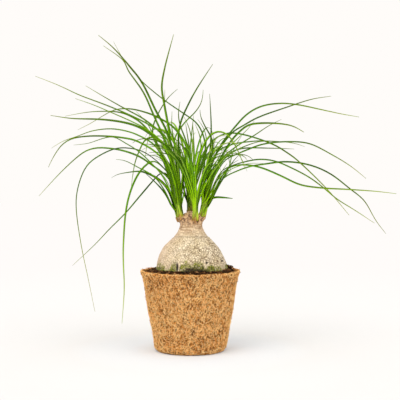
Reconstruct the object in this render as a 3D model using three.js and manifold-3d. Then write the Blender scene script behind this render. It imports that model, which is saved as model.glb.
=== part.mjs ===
// A young ponytail palm in a pot of pressed coconut fibre.
// Millimetres. X runs to the right, Y runs away from the front, Z runs up from the table.
import * as THREE from 'three';
import { mergeVertices } from 'three/addons/utils/BufferGeometryUtils.js';
import Module from 'manifold-3d';

const wasm = await Module();
wasm.setup();

const FULL_TURN = Math.PI * 2;
const DEGREE = Math.PI / 180;

// Sizes of the pot
const POT_HEIGHT = 100;
const POT_FOOT_RADIUS = 44;
const POT_WALL = 4;
const POT_FLOOR = 5;
const POT_WALL_SLOPE = 0.169;
const POT_SIDES = 38;
const POT_UNEVEN = 0.35;

// Outside of the pot, from its foot to its rim: distance out from the plain sloping wall, height
// and share of the unevenness
const POT_OUTSIDE = [
  [-6, 0, 0],
  [-2.6, 0.8, 0],
  [-0.8, 2.8, 0],
  [0, 7, 0.5],
  [0, 26, 1],
  [0, 46, 1],
  [0, 66, 1],
  [0, 82, 1],
  [0.2, 90, 1],
  [1.1, 95.2, 1],
  [2.2, 98.6, 0.7],
  [1.6, 99.8, 0.5],
  [-0.4, POT_HEIGHT, 0.5],
];
// Inside of the pot, from its rim to its floor: distance out from the plain inner wall and height
const POT_INSIDE = [
  [1.3, 99.4],
  [0.5, 97],
  [0, 93],
  [0, POT_FLOOR + 4],
  [-4, POT_FLOOR],
];

// Sizes of the soil
const SOIL_LUMP = 1.1;
const SOIL_SIDES = 32;
const SOIL_PEAK = 101.8;
// Side of the soil: gap to the pot's inner wall and height
const SOIL_SIDE = [
  [4.5, POT_FLOOR + 0.35],
  [1, POT_FLOOR + 4.5],
  [0.5, 40],
  [0.5, 70],
  [0.5, 93.5],
];
// Top of the soil, from the pot to the stem: radius and height
const SOIL_TOP = [
  [55.9, 97.6],
  [53, 99],
  [50, 100],
  [47, 100.8],
  [44, 101.2],
];

// Waves that make a round shape uneven: share, number round the axis, turn for each mm along the
// shape and turn at its start
const POT_WAVES = [[1, 5, 0.06, 0], [1, 9, -0.09, 1.7]];
const SOIL_WAVES = [[0.5, 13, 1.9, 0], [0.5, 7, -1.3, 0.6]];
const LOBE_WAVES = [[0.6, 7, 0, 0.8], [0.4, 11, 0, 2.1]];
const KNOB_WAVES = [[1, 5, 0.7, 0]];

// Sizes of the swollen stem
const STEM_X = 0.8;
const STEM_SIDES = 27;
const STEM_LOBE = 1.3;
const STEM_LOBE_HEIGHT = 101;
const STEM_LOBE_SPREAD = 13;
const STEM_KNOB = 0.8;
const STEM_KNOB_START = 155;
const STEM_KNOB_FADE = 10;
const STEM_FLOOR_HEIGHT = 81;
const SOIL_CLEARANCE = 0.5;

// Radius of the stem at each height, from its underside in the soil to its knobby top
const STEM_PROFILE = [
  [65, 0],
  [66, 10],
  [69, 24],
  [74, 34],
  [81, 41.5],
  [89, 45.2],
  [96, 45.8],
  [101, 45],
  [107, 43.8],
  [113, 42.2],
  [119.5, 40],
  [126, 36.8],
  [132, 32],
  [138, 26],
  [144, 19.6],
  [150, 16],
  [155.5, 14],
  [159, 13.6],
  [163, 13.4],
  [167, 13.1],
  [170.5, 11],
  [173.5, 5.5],
  [174.3, 0],
];

// Roots hidden in the soil: heading in degrees, length outward, depth of the tip, thickness
const ROOTS = [
  [15, 27, 48, 3.2],
  [88, 24, 54, 2.8],
  [155, 28, 44, 3.0],
  [232, 25, 50, 3.3],
  [305, 27, 46, 2.7],
];
const ROOT_START_RADIUS = 12;
const ROOT_START_HEIGHT = 74;
const ROOT_TIP_SHARE = 0.4;
const ROOT_BEND = 1.4;
const ROOT_LOOK = 0.04;
const ROOT_SIDES = 6;
const ROOT_STEPS = 3;

// Places where the crowns grow: foot of each leaf bundle, how far it leans for each mm up, and its
// thickness as a share of the common one
const CROWNS = {
  left: { foot: [-12, -4, 167], lean: [-0.16, -0.06], size: 1.12 },
  far_left: { foot: [-13.4, 9.5, 163.6], lean: [-0.34, 0.16], size: 0.9 },
  back: { foot: [0, 9.5, 173], lean: [-0.03, 0.14], size: 1.1 },
  front: { foot: [6, -11, 163.5], lean: [0.04, -0.12], size: 1 },
  right: { foot: [13.8, 1, 166.8], lean: [0.26, 0.03], size: 1.42 },
};
const BUNDLE_RADIUS = 3.7;
const BUNDLE_DEPTH = 5;
const BUNDLE_SIDES = 8;
const BUNDLE_CLEARANCE = 0.35;
// Height above the foot and share of the bundle radius
const BUNDLE_PROFILE = [
  [-BUNDLE_DEPTH, 0.6],
  [-1.5, 0.8],
  [7, 1.05],
  [15, 0.8],
  [23, 0.35],
];
const STUB_SIDES = 10;
const STUB_SLOPE_HEIGHT = 22;
// A stub under a bundle: height from the foot, share of the way out to the foot and radius
const STUB_PROFILE = [
  [-18, 0.4, 5.5],
  [-6, 0.64, 4.3],
  [0.8, 1, 4.4],
];

// Shape of every leaf
const LEAF_ROOT_HEIGHT = 3;
const LEAF_ROOT_OFFSET = 1.9;
const LEAF_BUNDLE_HEIGHT = 11;
const LEAF_DEPTH_BEND = 1.25;
const LEAF_STEP = 29;
const LEAF_FEWEST_STEPS = 5;
const LEAF_MOST_STEPS = 13;
const LEAF_FINEST = 0.85;
const LEAF_THINNEST = 0.7;
const LEAF_KEEL = 0.38;
const LEAF_FOOT_GAIN = 0.55;
const LEAF_FOOT_POWER = 6;
const LEAF_TIP_LOSS = 0.74;
const LEAF_TIP_POWER = 5;
const LEAF_LOOK = 2;
// How far a leaf turns to show its width to the front, in degrees, the share of its length where
// that turn is done, and how far its two ways across may point apart before it turns the other way
const LEAF_TURN = 58;
const LEAF_TURN_END = 0.4;
const LEAF_TURN_APART = -0.5;
const TO_BACK = new THREE.Vector3(0, 1, 0);
const CURVE_SAMPLES = 10;

// The eye that the routes of the leaves below are seen from
const EYE_X = 12;
const EYE_HEIGHT = 208;
const EYE_DISTANCE = 1150;

// Leaves as seen from the front: crown, width at mid-leaf, depth of the tip behind the stem's
// middle (less than 0 is in front of it), and a route of [x, z] from the foot to the tip
const SEEN_LEAVES = [
  // Long leaves that lean to the left
  ['left', 3.0, -75, [
    [-21, 226], [-28, 269], [-44, 301], [-60, 334], [-75, 354], [-96, 378], [-115, 394],
  ]],
  ['left', 1.8, 12, [
    [-21, 222], [-32, 262], [-46, 294], [-59, 323], [-78, 350], [-84, 363], [-109, 381],
  ]],
  ['left', 1.9, -30, [
    [-24, 222], [-29, 264], [-50, 281], [-75, 294], [-106, 307], [-138, 319], [-166, 332],
    [-194, 343],
  ]],
  ['left', 1.7, -110, [
    [-21, 222], [-34, 258], [-54, 276], [-75, 287], [-100, 298], [-121, 307], [-144, 315],
  ]],
  ['left', 3.0, -60, [
    [-24, 232], [-31, 254], [-48, 269], [-66, 280], [-88, 286], [-115, 289], [-148, 290],
    [-175, 294],
  ]],
  ['left', 2.2, -40, [
    [-24, 215], [-38, 243], [-65, 261], [-85, 266], [-106, 268], [-128, 268], [-148, 265],
    [-161, 257], [-171, 243], [-178, 229],
  ]],
  ['left', 1.7, -105, [
    [-19, 190], [-30, 213], [-48, 233], [-65, 249], [-81, 259], [-96, 267], [-110, 265],
    [-128, 259], [-146, 257],
  ]],
  ['left', 2.3, 20, [
    [-26, 213], [-50, 233], [-65, 243], [-85, 250], [-104, 253], [-119, 253], [-135, 247],
    [-161, 224], [-190, 193],
  ]],
  ['left', 1.8, -28, [
    [-24, 214], [-34, 229], [-50, 243], [-66, 251], [-91, 253], [-115, 243], [-131, 229],
    [-141, 203], [-143, 176], [-137, 132], [-128, 88], [-120, 48],
  ]],
  ['left', 2.9, -68, [
    [-21, 208], [-29, 223], [-43, 236], [-50, 236], [-63, 224], [-74, 202], [-81, 173], [-84, 132],
    [-84, 107], [-83, 76], [-86, 33],
  ]],
  ['left', 2.3, -56, [
    [-20, 224], [-29, 248], [-38, 262], [-47, 267], [-57, 263], [-65, 247], [-70, 232], [-74, 206],
  ]],
  ['left', 2.3, -74, [
    [-19, 185], [-28, 202], [-38, 212], [-54, 223], [-64, 228], [-81, 237], [-93, 239],
  ]],
  ['left', 1.6, -34, [[-20, 206], [-28, 231], [-34, 236], [-44, 241]]],
  ['left', 1.7, -48, [[-21, 222], [-29, 245], [-38, 254], [-50, 258], [-61, 258]]],
  ['far_left', 1.7, 90, [[-23, 222], [-32, 264], [-55, 287], [-85, 304], [-106, 316], [-131, 331]]],
  ['far_left', 1.8, 98, [
    [-25, 215], [-40, 255], [-58, 281], [-75, 293], [-90, 298], [-106, 299], [-128, 298],
    [-157, 293],
  ]],
  ['far_left', 1.8, 44, [[-24, 220], [-38, 252], [-46, 268], [-54, 284], [-68, 299]]],
  ['far_left', 2.1, 72, [
    [-26, 212], [-41, 252], [-65, 269], [-88, 276], [-106, 277], [-125, 274], [-141, 268],
    [-159, 262], [-174, 253],
  ]],
  ['far_left', 2.1, 70, [
    [-22, 192], [-27, 216], [-35, 223], [-45, 214], [-64, 192], [-81, 172], [-103, 150],
    [-120, 132], [-148, 106],
  ]],
  ['far_left', 2.9, 62, [
    [-22, 185], [-26, 197], [-33, 208], [-43, 216], [-53, 221], [-63, 224], [-75, 223], [-88, 221],
    [-94, 219], [-99, 216],
  ]],
  ['far_left', 2.4, 42, [[-23, 179], [-29, 192], [-38, 204], [-48, 214], [-58, 223]]],
  ['far_left', 2.0, 14, [[-20.5, 177], [-23.5, 180], [-27.5, 187]]],
  ['back', 1.7, 118, [
    [9, 212], [18, 244], [17, 266], [8, 284], [-8, 296], [-30, 311], [-49, 326], [-62, 338],
    [-83, 363], [-96, 386],
  ]],
  ['back', 1.8, 150, [
    [1, 215], [-4, 252], [-19, 277], [-38, 290], [-54, 297], [-75, 302], [-94, 301], [-110, 293],
    [-125, 284], [-141, 276],
  ]],

  // Leaves that fill the left crowns
  ['left', 2.8, -22, [[-16, 199], [-20, 218], [-25, 237], [-30, 253], [-36, 263], [-45, 268]]],
  ['left', 2.6, -30, [[-14, 199], [-17, 219], [-21, 238], [-25, 255], [-30, 270]]],
  ['left', 2.4, 2, [[-11, 199], [-8, 220], [-6, 240], [-6, 258]]],
  ['left', 2.6, -45, [[-17, 199], [-23, 222], [-31, 240], [-40, 252], [-52, 258]]],
  ['left', 2.4, -24, [[-13, 199], [-15, 222], [-17, 242], [-18, 262]]],
  ['left', 2.5, -16, [[-19, 173], [-25, 184], [-31, 197], [-39, 210], [-50, 222]]],
  ['left', 2.3, -24, [[-17, 176], [-22, 190], [-28, 205], [-37, 221], [-49, 234]]],
  ['left', 2.2, -2, [[-10, 187], [-8, 197], [-6, 209], [-3, 224]]],
  ['left', 2.2, -9, [[-12, 199], [-10, 218], [-9, 236], [-12, 252]]],

  // Leaves that stand up in the middle
  ['left', 3.0, -14, [
    [-18, 205], [-24, 244], [-27, 275], [-33, 309], [-36, 330], [-32, 354], [-26, 377], [-21, 395],
  ]],
  ['left', 1.9, -8, [
    [-20, 205], [-34, 240], [-46, 265], [-47, 280], [-39, 299], [-28, 316], [-16, 327],
  ]],
  ['back', 2.3, 90, [[-5, 205], [-13, 240], [-15, 266], [-12, 286], [-3, 307], [9, 329], [28, 358]]],
  ['back', 2.0, 42, [[-7, 212], [-17, 244], [-20, 264], [-8, 284], [6, 298], [14, 311], [16, 326]]],
  ['front', 2.3, -110, [[14, 212], [27, 246], [27, 264], [19, 279], [13, 292], [12, 301]]],
  ['right', 2.2, 26, [[21, 210], [24, 240], [26, 275], [25, 304], [24, 321]]],
  ['back', 1.6, 150, [[-7, 215], [-19, 255], [-28, 285], [-32, 305], [-32, 326]]],
  ['back', 1.7, 112, [[-7, 214], [-17, 250], [-23, 276], [-23, 299]]],
  ['front', 1.8, -118, [[5, 205], [0, 243], [-7, 266], [-13, 282], [-15, 296], [-13, 311]]],
  ['back', 1.7, 165, [[2, 210], [4, 245], [0, 272], [-4, 284], [-8, 292]]],
  ['front', 1.6, -150, [[5, 205], [1, 240], [-3, 264], [-6, 284]]],
  ['back', 1.8, 100, [[0, 215], [0, 253], [2, 275], [4, 294]]],
  ['front', 1.7, -165, [[7, 205], [5, 240], [4, 263], [3, 283]]],
  ['back', 1.8, 130, [[6, 212], [13, 246], [12, 267], [6, 283]]],
  ['front', 2.5, -105, [
    [6, 205], [10, 236], [17, 258], [26, 270], [36, 274], [46, 270], [54, 260], [62, 244], [68, 228],
  ]],
  ['back', 1.7, 68, [[7, 212], [17, 245], [20, 264], [16, 279], [9, 289]]],
  ['front', 2.1, -112, [[6, 202], [1, 232], [-8, 253], [-24, 269]]],
  ['front', 2.2, -122, [[4, 194], [-3, 218], [-12, 240], [-24, 250]]],
  ['front', 2.0, -92, [[2, 194], [-6, 218], [-13, 232], [-21, 244]]],

  // Leaves that fill the middle and the right crown
  ['back', 2.3, 40, [[-4, 200], [-9, 220], [-12, 240], [-13, 262]]],
  ['back', 2.4, 28, [[-5, 189], [-8, 201], [-10, 216], [-9, 232], [-6, 246]]],
  ['back', 1.8, 22, [[-4, 187], [-8, 194], [-12, 202], [-17, 213]]],
  ['back', 2.2, 55, [[3, 200], [6, 222], [10, 243], [16, 262]]],
  ['back', 2.0, 30, [[-2, 203], [-5, 226], [-10, 247], [-18, 262]]],
  ['back', 2.2, 24, [[4, 203], [9, 224], [15, 243], [24, 256]]],
  ['front', 2.2, -70, [[10, 186], [18, 205], [27, 221], [38, 236], [50, 248]]],
  ['front', 2.0, -52, [[9, 190], [15, 211], [22, 231], [32, 250]]],
  ['right', 2.6, -18, [[20, 176], [26, 186], [32, 199], [40, 213], [50, 226]]],
  ['right', 2.4, 14, [[18, 176], [24, 188], [29, 202], [36, 218], [46, 234]]],
  ['right', 2.4, 16, [[16, 190], [17, 212], [20, 232], [24, 250]]],
  ['right', 2.2, -20, [[19, 190], [24, 212], [31, 233], [40, 250]]],
  ['right', 2.0, 10, [[18, 188], [21, 208], [28, 228], [37, 243], [49, 252]]],
  ['right', 2.4, 24, [[15, 186], [14, 200], [15, 222], [20, 244]]],
  ['right', 2.7, -12, [[21, 185], [25, 201], [31, 219], [41, 238], [54, 250]]],
  ['right', 2.5, -46, [[24, 184], [30, 199], [38, 215], [49, 231], [60, 238]]],

  // Long leaves that lean to the right
  ['right', 2.2, 40, [
    [22, 210], [34, 250], [58, 282], [73, 297], [91, 306], [114, 309], [136, 307], [160, 302],
    [188, 296], [211, 292],
  ]],
  ['right', 2.0, -72, [
    [21, 205], [30, 240], [50, 270], [66, 281], [86, 292], [120, 304], [151, 314], [176, 318],
  ]],
  ['right', 2.8, -104, [
    [23, 205], [36, 235], [47, 256], [58, 270], [71, 281], [85, 284], [107, 284], [127, 281],
    [142, 273],
  ]],
  ['right', 1.7, 98, [[25, 210], [38, 238], [52, 251], [65, 260], [80, 269], [98, 281], [114, 289]]],
  ['right', 2.1, -40, [
    [24, 203], [41, 235], [55, 244], [74, 252], [91, 258], [118, 261], [148, 259], [175, 246],
    [200, 231], [220, 215],
  ]],
  ['right', 1.8, 80, [[21, 212], [31, 245], [50, 257], [73, 261], [91, 262], [125, 260], [143, 255]]],
  ['right', 2.3, -78, [[24, 205], [37, 232], [50, 246], [65, 254], [85, 261], [98, 261]]],
  ['right', 1.9, 108, [[24, 205], [37, 234], [52, 248], [68, 253], [99, 253], [130, 252]]],
  ['right', 2.1, -22, [
    [18, 203], [18, 234], [23, 257], [36, 268], [50, 272], [66, 270], [84, 265], [105, 257],
    [120, 248], [136, 236], [171, 202], [199, 169],
  ]],
  ['right', 2.5, 30, [
    [27, 191], [40, 214], [58, 224], [75, 230], [93, 233], [120, 236], [149, 232], [175, 221],
    [200, 202], [218, 187], [232, 163], [245, 146],
  ]],
  ['right', 2.0, -58, [
    [25, 198], [38, 223], [52, 231], [69, 236], [86, 239], [105, 237], [125, 229], [148, 217],
    [166, 204], [184, 189], [205, 176], [231, 159],
  ]],
  ['right', 2.9, -90, [
    [23, 192], [35, 216], [48, 228], [62, 232], [78, 231], [93, 227], [114, 218], [138, 207],
    [166, 203], [184, 202], [203, 201], [232, 199], [258, 196],
  ]],
  ['right', 1.9, -74, [[25, 196], [35, 214], [48, 225], [62, 231], [75, 234], [91, 234]]],
  ['right', 1.8, 68, [[26, 210], [40, 238], [52, 250], [64, 240], [71, 224]]],
  ['right', 2.3, -48, [[22, 182], [30, 197], [40, 214], [51, 233], [62, 246]]],
  ['right', 1.6, 116, [[24, 210], [40, 245], [58, 264], [70, 275], [80, 287]]],
  ['right', 1.8, -50, [[23, 190], [38, 211], [48, 228], [52, 245], [57, 257], [64, 268]]],
  ['right', 3.2, -14, [[22, 184], [27, 191], [36, 191.5], [44, 191], [53, 190]]],
];

// Leaves placed by rule: crown, number, then ranges of heading in degrees (0 is to the right and
// 90 is to the back), of reach outward, of rise above the foot and of droop as a share of the rise
const GROWN_LEAVES = [
  ['left', 6, [205, 226], [28, 56], [70, 106], [0, 0.04]],
  ['left', 4, [175, 222], [9, 24], [62, 108], [0, 0]],
  ['far_left', 5, [138, 158], [34, 64], [74, 110], [0, 0.05]],
  ['far_left', 2, [138, 160], [9, 22], [60, 92], [0, 0]],
  ['back', 9, [58, 124], [110, 185], [72, 122], [0, 0.45]],
  ['back', 2, [70, 108], [100, 175], [78, 98], [0.1, 0.4]],
  ['back', 4, [60, 125], [10, 28], [62, 108], [0, 0]],
  ['front', 4, [228, 246], [90, 150], [70, 100], [0, 0.12]],
  ['front', 2, [258, 282], [110, 165], [62, 88], [0, 0.2]],
  ['front', 4, [292, 312], [90, 150], [70, 100], [0, 0.12]],
  ['front', 4, [232, 306], [12, 30], [62, 100], [0, 0]],
  ['right', 4, [-48, -34], [28, 56], [70, 106], [0, 0.04]],
  ['right', 4, [36, 60], [36, 84], [72, 110], [0, 0.06]],
  ['right', 3, [-40, 40], [10, 24], [62, 98], [0, 0]],
];
const GROWN_WIDTH = [1.7, 2.4];
// Share of the reach and share of the rise along a leaf placed by rule
const GROWN_ROUTE = [
  [0.07, 0.36],
  [0.24, 0.7],
  [0.5, 0.94],
  [0.76, 1],
];
// Where such a leaf starts to fall, as a share of its reach, and the share of the droop there
const GROWN_FALL = 0.92;
const GROWN_FALL_DROOP = 0.3;
const RANDOM_SEED = 20417;

// Colours
const COIR_COLOUR = '#b8834b';
const SOIL_COLOUR = '#33221a';
const STEM_COLOUR = '#c9b28e';
const LEAF_COLOURS = {
  left: '#4f9a1e',
  far_left: '#3f7d1f',
  back: '#3b7424',
  front: '#6aae2c',
  right: '#4a8f22',
};

// Waves round an axis, at an angle and a distance along the shape
function waveSum(waves, angle, distance) {
  let sum = 0;
  for (const [share, number, twist, start] of waves) {
    sum += share * Math.sin(angle * number + distance * twist + start);
  }
  return sum;
}

// Random numbers from 0 to 1, the same in every run
let randomState = RANDOM_SEED;
function random() {
  randomState = (randomState * 1664525 + 1013904223) % 4294967296;
  return randomState / 4294967296;
}

function between(range) {
  return range[0] + (range[1] - range[0]) * random();
}

// A closed skin over a row of rings, each an array of as many points; a ring of one point is a pole
function skin(rings) {
  const positions = [];
  const faces = [];
  const starts = [];
  for (const ring of rings) {
    starts.push(positions.length / 3);
    for (const point of ring) {
      positions.push(point.x, point.y, point.z);
    }
  }
  for (let row = 0; row + 1 < rings.length; row += 1) {
    joinRings(faces, starts[row], rings[row].length, starts[row + 1], rings[row + 1].length);
  }
  closeRing(faces, starts[0], rings[0].length, false);
  closeRing(faces, starts[rings.length - 1], rings[rings.length - 1].length, true);
  const geometry = new THREE.BufferGeometry();
  geometry.setAttribute('position', new THREE.Float32BufferAttribute(positions, 3));
  geometry.setIndex(faces);
  return geometry;
}

function joinRings(faces, low, lowCount, high, highCount) {
  const count = Math.max(lowCount, highCount);
  for (let side = 0; side < count; side += 1) {
    const next = (side + 1) % count;
    const a = low + (lowCount > 1 ? side : 0);
    const b = low + (lowCount > 1 ? next : 0);
    const c = high + (highCount > 1 ? next : 0);
    const d = high + (highCount > 1 ? side : 0);
    if (lowCount > 1) {
      faces.push(a, b, c);
    }
    if (highCount > 1) {
      faces.push(a, c, d);
    }
  }
}

function closeRing(faces, start, count, upper) {
  for (let side = 1; side + 1 < count; side += 1) {
    if (upper) {
      faces.push(start, start + side, start + side + 1);
    } else {
      faces.push(start, start + side + 1, start + side);
    }
  }
}

// Solids for joining and cutting
function solidOf(geometry) {
  const merged = mergeVertices(geometry, 1e-4);
  const mesh = new wasm.Mesh({
    numProp: 3,
    vertProperties: new Float32Array(merged.attributes.position.array),
    triVerts: new Uint32Array(merged.index.array),
  });
  const solid = new wasm.Manifold(mesh);
  if (solid.volume() > 0) {
    return solid;
  }
  const turned = new Uint32Array(merged.index.array).reverse();
  mesh.triVerts = turned;
  return new wasm.Manifold(mesh);
}

function joined(solids) {
  return wasm.Manifold.union(solids);
}

// The largest body alone, so that a sealed hollow is filled and a loose scrap is dropped
function mainBody(solid) {
  let main = null;
  for (const body of solid.decompose()) {
    if (main === null || body.volume() > main.volume()) {
      main = body;
    }
  }
  return main;
}

function meshOf(name, solid, material) {
  const result = solid.getMesh();
  const geometry = new THREE.BufferGeometry();
  geometry.setAttribute('position', new THREE.BufferAttribute(new Float32Array(result.vertProperties), 3));
  geometry.setIndex(new THREE.BufferAttribute(new Uint32Array(result.triVerts), 1));
  geometry.computeVertexNormals();
  const mesh = new THREE.Mesh(geometry, material);
  mesh.name = name;
  return mesh;
}

// A ring of points round an upright axis; reach gives the radius and lift the height at each angle
function uprightRing(centreX, sides, reach, lift) {
  const ring = [];
  for (let side = 0; side < sides; side += 1) {
    const angle = (side / sides) * FULL_TURN;
    const radius = reach(angle);
    ring.push(new THREE.Vector3(
      centreX + radius * Math.cos(angle),
      radius * Math.sin(angle),
      lift(angle),
    ));
  }
  return ring;
}

// A ring of points round any axis
function tiltedRing(centre, along, radius, sides) {
  const sideways = new THREE.Vector3(0, 1, 0).cross(along).normalize();
  const forward = new THREE.Vector3().crossVectors(along, sideways).normalize();
  const ring = [];
  for (let side = 0; side < sides; side += 1) {
    const angle = (side / sides) * FULL_TURN;
    ring.push(
      centre.clone()
        .addScaledVector(sideways, radius * Math.cos(angle))
        .addScaledVector(forward, radius * Math.sin(angle)),
    );
  }
  return ring;
}

function pole(x, z) {
  return [new THREE.Vector3(x, 0, z)];
}

// The pot: a thick pressed cup with a rounded foot and a rim that turns out a little
function potOuterRadius(height) {
  return POT_FOOT_RADIUS + POT_WALL_SLOPE * height;
}

function potInnerRadius(height) {
  return potOuterRadius(height) - POT_WALL;
}

function potSolid() {
  const rings = [pole(0, 0)];
  for (const [outward, height, share] of POT_OUTSIDE) {
    rings.push(uprightRing(
      0,
      POT_SIDES,
      (angle) => potOuterRadius(height) + outward
        + share * POT_UNEVEN * waveSum(POT_WAVES, angle, height),
      () => height,
    ));
  }
  for (const [outward, height] of POT_INSIDE) {
    rings.push(uprightRing(0, POT_SIDES, () => potInnerRadius(height) + outward, () => height));
  }
  rings.push(pole(0, POT_FLOOR));
  return solidOf(skin(rings));
}

// The stem: a swollen base with lobes at the soil, a narrow neck and a knobby top
function stemRadiusAt(radius, height, angle) {
  const fromLobes = (height - STEM_LOBE_HEIGHT) / STEM_LOBE_SPREAD;
  const lobes = STEM_LOBE * Math.exp(-fromLobes * fromLobes) * waveSum(LOBE_WAVES, angle, 0);
  const knobs = height > STEM_KNOB_START
    ? STEM_KNOB * waveSum(KNOB_WAVES, angle, height) * Math.min(1, radius / STEM_KNOB_FADE)
    : 0;
  return radius + lobes + knobs;
}

function stemBody(clearance) {
  const rings = [];
  for (const [height, radius] of STEM_PROFILE) {
    const lift = height < STEM_FLOOR_HEIGHT ? height - clearance : height;
    if (radius === 0) {
      rings.push(pole(STEM_X, lift));
    } else {
      rings.push(uprightRing(
        STEM_X,
        STEM_SIDES,
        (angle) => stemRadiusAt(radius, height, angle) + clearance,
        () => lift,
      ));
    }
  }
  return solidOf(skin(rings));
}

// Middle of a root, from its start at 0 to its tip at 1
function rootPoint([heading, outward, tipDepth], share) {
  const reach = ROOT_START_RADIUS + outward * Math.sin(share * FULL_TURN / 4);
  return new THREE.Vector3(
    STEM_X + reach * Math.cos(heading * DEGREE),
    reach * Math.sin(heading * DEGREE),
    ROOT_START_HEIGHT - tipDepth * Math.max(0, share) ** ROOT_BEND,
  );
}

function rootSolid(root, clearance) {
  const thickness = root[3];
  const rings = [];
  for (let step = 0; step <= ROOT_STEPS; step += 1) {
    const share = step / ROOT_STEPS;
    const along = rootPoint(root, share + ROOT_LOOK).sub(rootPoint(root, share - ROOT_LOOK)).normalize();
    const centre = rootPoint(root, share);
    if (step === ROOT_STEPS) {
      centre.addScaledVector(along, clearance);
    }
    const radius = thickness * (1 - (1 - ROOT_TIP_SHARE) * share) + clearance;
    rings.push(tiltedRing(centre, along, radius, ROOT_SIDES));
  }
  return solidOf(skin(rings));
}

function stemInSoil(clearance) {
  const roots = ROOTS.map((root) => rootSolid(root, clearance));
  return joined([stemBody(clearance), ...roots]);
}

// The foot of a crown: a point on its leaning axis and the direction of that axis
function crownPoint(crown, height) {
  const { foot, lean } = CROWNS[crown];
  return new THREE.Vector3(
    foot[0] + lean[0] * height,
    foot[1] + lean[1] * height,
    foot[2] + height,
  );
}

function crownAxis(crown) {
  const { lean } = CROWNS[crown];
  return new THREE.Vector3(lean[0], lean[1], 1).normalize();
}

// A short knob that grows out of the neck and carries one crown
function crownStub(crown) {
  const { foot: [footX, footY, footZ], size } = CROWNS[crown];
  const along = new THREE.Vector3(footX - STEM_X, footY, STUB_SLOPE_HEIGHT).normalize();
  const rings = STUB_PROFILE.map(([height, share, radius]) => {
    const centre = new THREE.Vector3(
      STEM_X + (footX - STEM_X) * share,
      footY * share,
      footZ + height,
    );
    const normal = share === 1 ? crownAxis(crown) : along;
    return tiltedRing(centre, normal, radius * size, STUB_SIDES);
  });
  return solidOf(skin(rings));
}

// The packed leaf bases in the middle of a crown, or the socket for them where clearance is given
function crownBundle(crown, clearance) {
  const along = crownAxis(crown);
  const rings = [];
  for (const [height, share] of BUNDLE_PROFILE) {
    const lift = height < -BUNDLE_DEPTH / 2 ? height - clearance : height;
    const radius = BUNDLE_RADIUS * CROWNS[crown].size * share + clearance;
    rings.push(tiltedRing(crownPoint(crown, lift), along, radius, BUNDLE_SIDES));
  }
  return solidOf(skin(rings));
}

function stemSolid() {
  const names = Object.keys(CROWNS);
  let solid = joined([stemInSoil(0), ...names.map((crown) => crownStub(crown))]);
  for (const crown of names) {
    solid = solid.subtract(crownBundle(crown, BUNDLE_CLEARANCE));
  }
  return mainBody(solid);
}

// The soil: it fills the pot, rises to a lumpy mound and leaves room for the stem and its roots
function soilSolid() {
  const rings = [pole(0, SOIL_SIDE[0][1])];
  for (const [gap, height] of SOIL_SIDE) {
    rings.push(uprightRing(0, SOIL_SIDES, () => potInnerRadius(height) - gap, () => height));
  }
  for (const [radius, height] of SOIL_TOP) {
    const lumpy = (angle) => height + SOIL_LUMP * waveSum(SOIL_WAVES, angle, radius);
    rings.push(uprightRing(0, SOIL_SIDES, () => radius, lumpy));
  }
  rings.push(pole(0, SOIL_PEAK));
  const filled = solidOf(skin(rings));
  return mainBody(filled.subtract(stemInSoil(SOIL_CLEARANCE)));
}

// A smooth curve through points, as many evenly spaced points as asked for
function curvePoint(points, index, share) {
  const before = points[Math.max(index - 1, 0)];
  const from = points[index];
  const to = points[index + 1];
  const after = points[Math.min(index + 2, points.length - 1)];
  const square = share * share;
  const cube = square * share;
  return new THREE.Vector3()
    .addScaledVector(before, 0.5 * (-cube + 2 * square - share))
    .addScaledVector(from, 0.5 * (3 * cube - 5 * square + 2))
    .addScaledVector(to, 0.5 * (-3 * cube + 4 * square + share))
    .addScaledVector(after, 0.5 * (cube - square));
}

function smoothPath(points) {
  const path = [];
  for (let index = 0; index + 1 < points.length; index += 1) {
    for (let sample = 0; sample < CURVE_SAMPLES; sample += 1) {
      path.push(curvePoint(points, index, sample / CURVE_SAMPLES));
    }
  }
  path.push(points[points.length - 1].clone());
  return path;
}

function pathLengths(path) {
  const lengths = [0];
  for (let index = 1; index < path.length; index += 1) {
    lengths.push(lengths[index - 1] + path[index].distanceTo(path[index - 1]));
  }
  return lengths;
}

function pointAtLength(path, lengths, length) {
  let index = 1;
  while (index < path.length - 1 && lengths[index] < length) {
    index += 1;
  }
  const share = (length - lengths[index - 1]) / (lengths[index] - lengths[index - 1]);
  return path[index - 1].clone().lerp(path[index], share);
}

// Where a point of a route lies in space, once its depth is known
function fromEye(x, z, depth) {
  const scale = 1 + depth / EYE_DISTANCE;
  return new THREE.Vector3(
    EYE_X + (x - EYE_X) * scale,
    depth,
    EYE_HEIGHT + (z - EYE_HEIGHT) * scale,
  );
}

// The first points of a leaf, in the bundle and on the side that the leaf leans to
function leafRoot(crown, heading) {
  const points = [];
  const offset = LEAF_ROOT_OFFSET * CROWNS[crown].size;
  for (const height of [LEAF_ROOT_HEIGHT, LEAF_BUNDLE_HEIGHT]) {
    const point = crownPoint(crown, height);
    point.x += offset * Math.cos(heading);
    point.y += offset * Math.sin(heading);
    points.push(point);
  }
  return points;
}

function seenLeaf([crown, width, tipDepth, route]) {
  const foot = crownPoint(crown, LEAF_BUNDLE_HEIGHT);
  const [tipX, tipZ] = route[route.length - 1];
  const tip = fromEye(tipX, tipZ, tipDepth);
  const heading = Math.atan2(tip.y - foot.y, tip.x - foot.x);
  const points = leafRoot(crown, heading);
  const lengths = [];
  let length = 0;
  let before = [foot.x, foot.z];
  for (const [x, z] of route) {
    length += Math.hypot(x - before[0], z - before[1]);
    lengths.push(length);
    before = [x, z];
  }
  route.forEach(([x, z], index) => {
    const share = (lengths[index] / length) ** LEAF_DEPTH_BEND;
    points.push(fromEye(x, z, foot.y + (tipDepth - foot.y) * share));
  });
  return { crown, width, heading, points };
}

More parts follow.
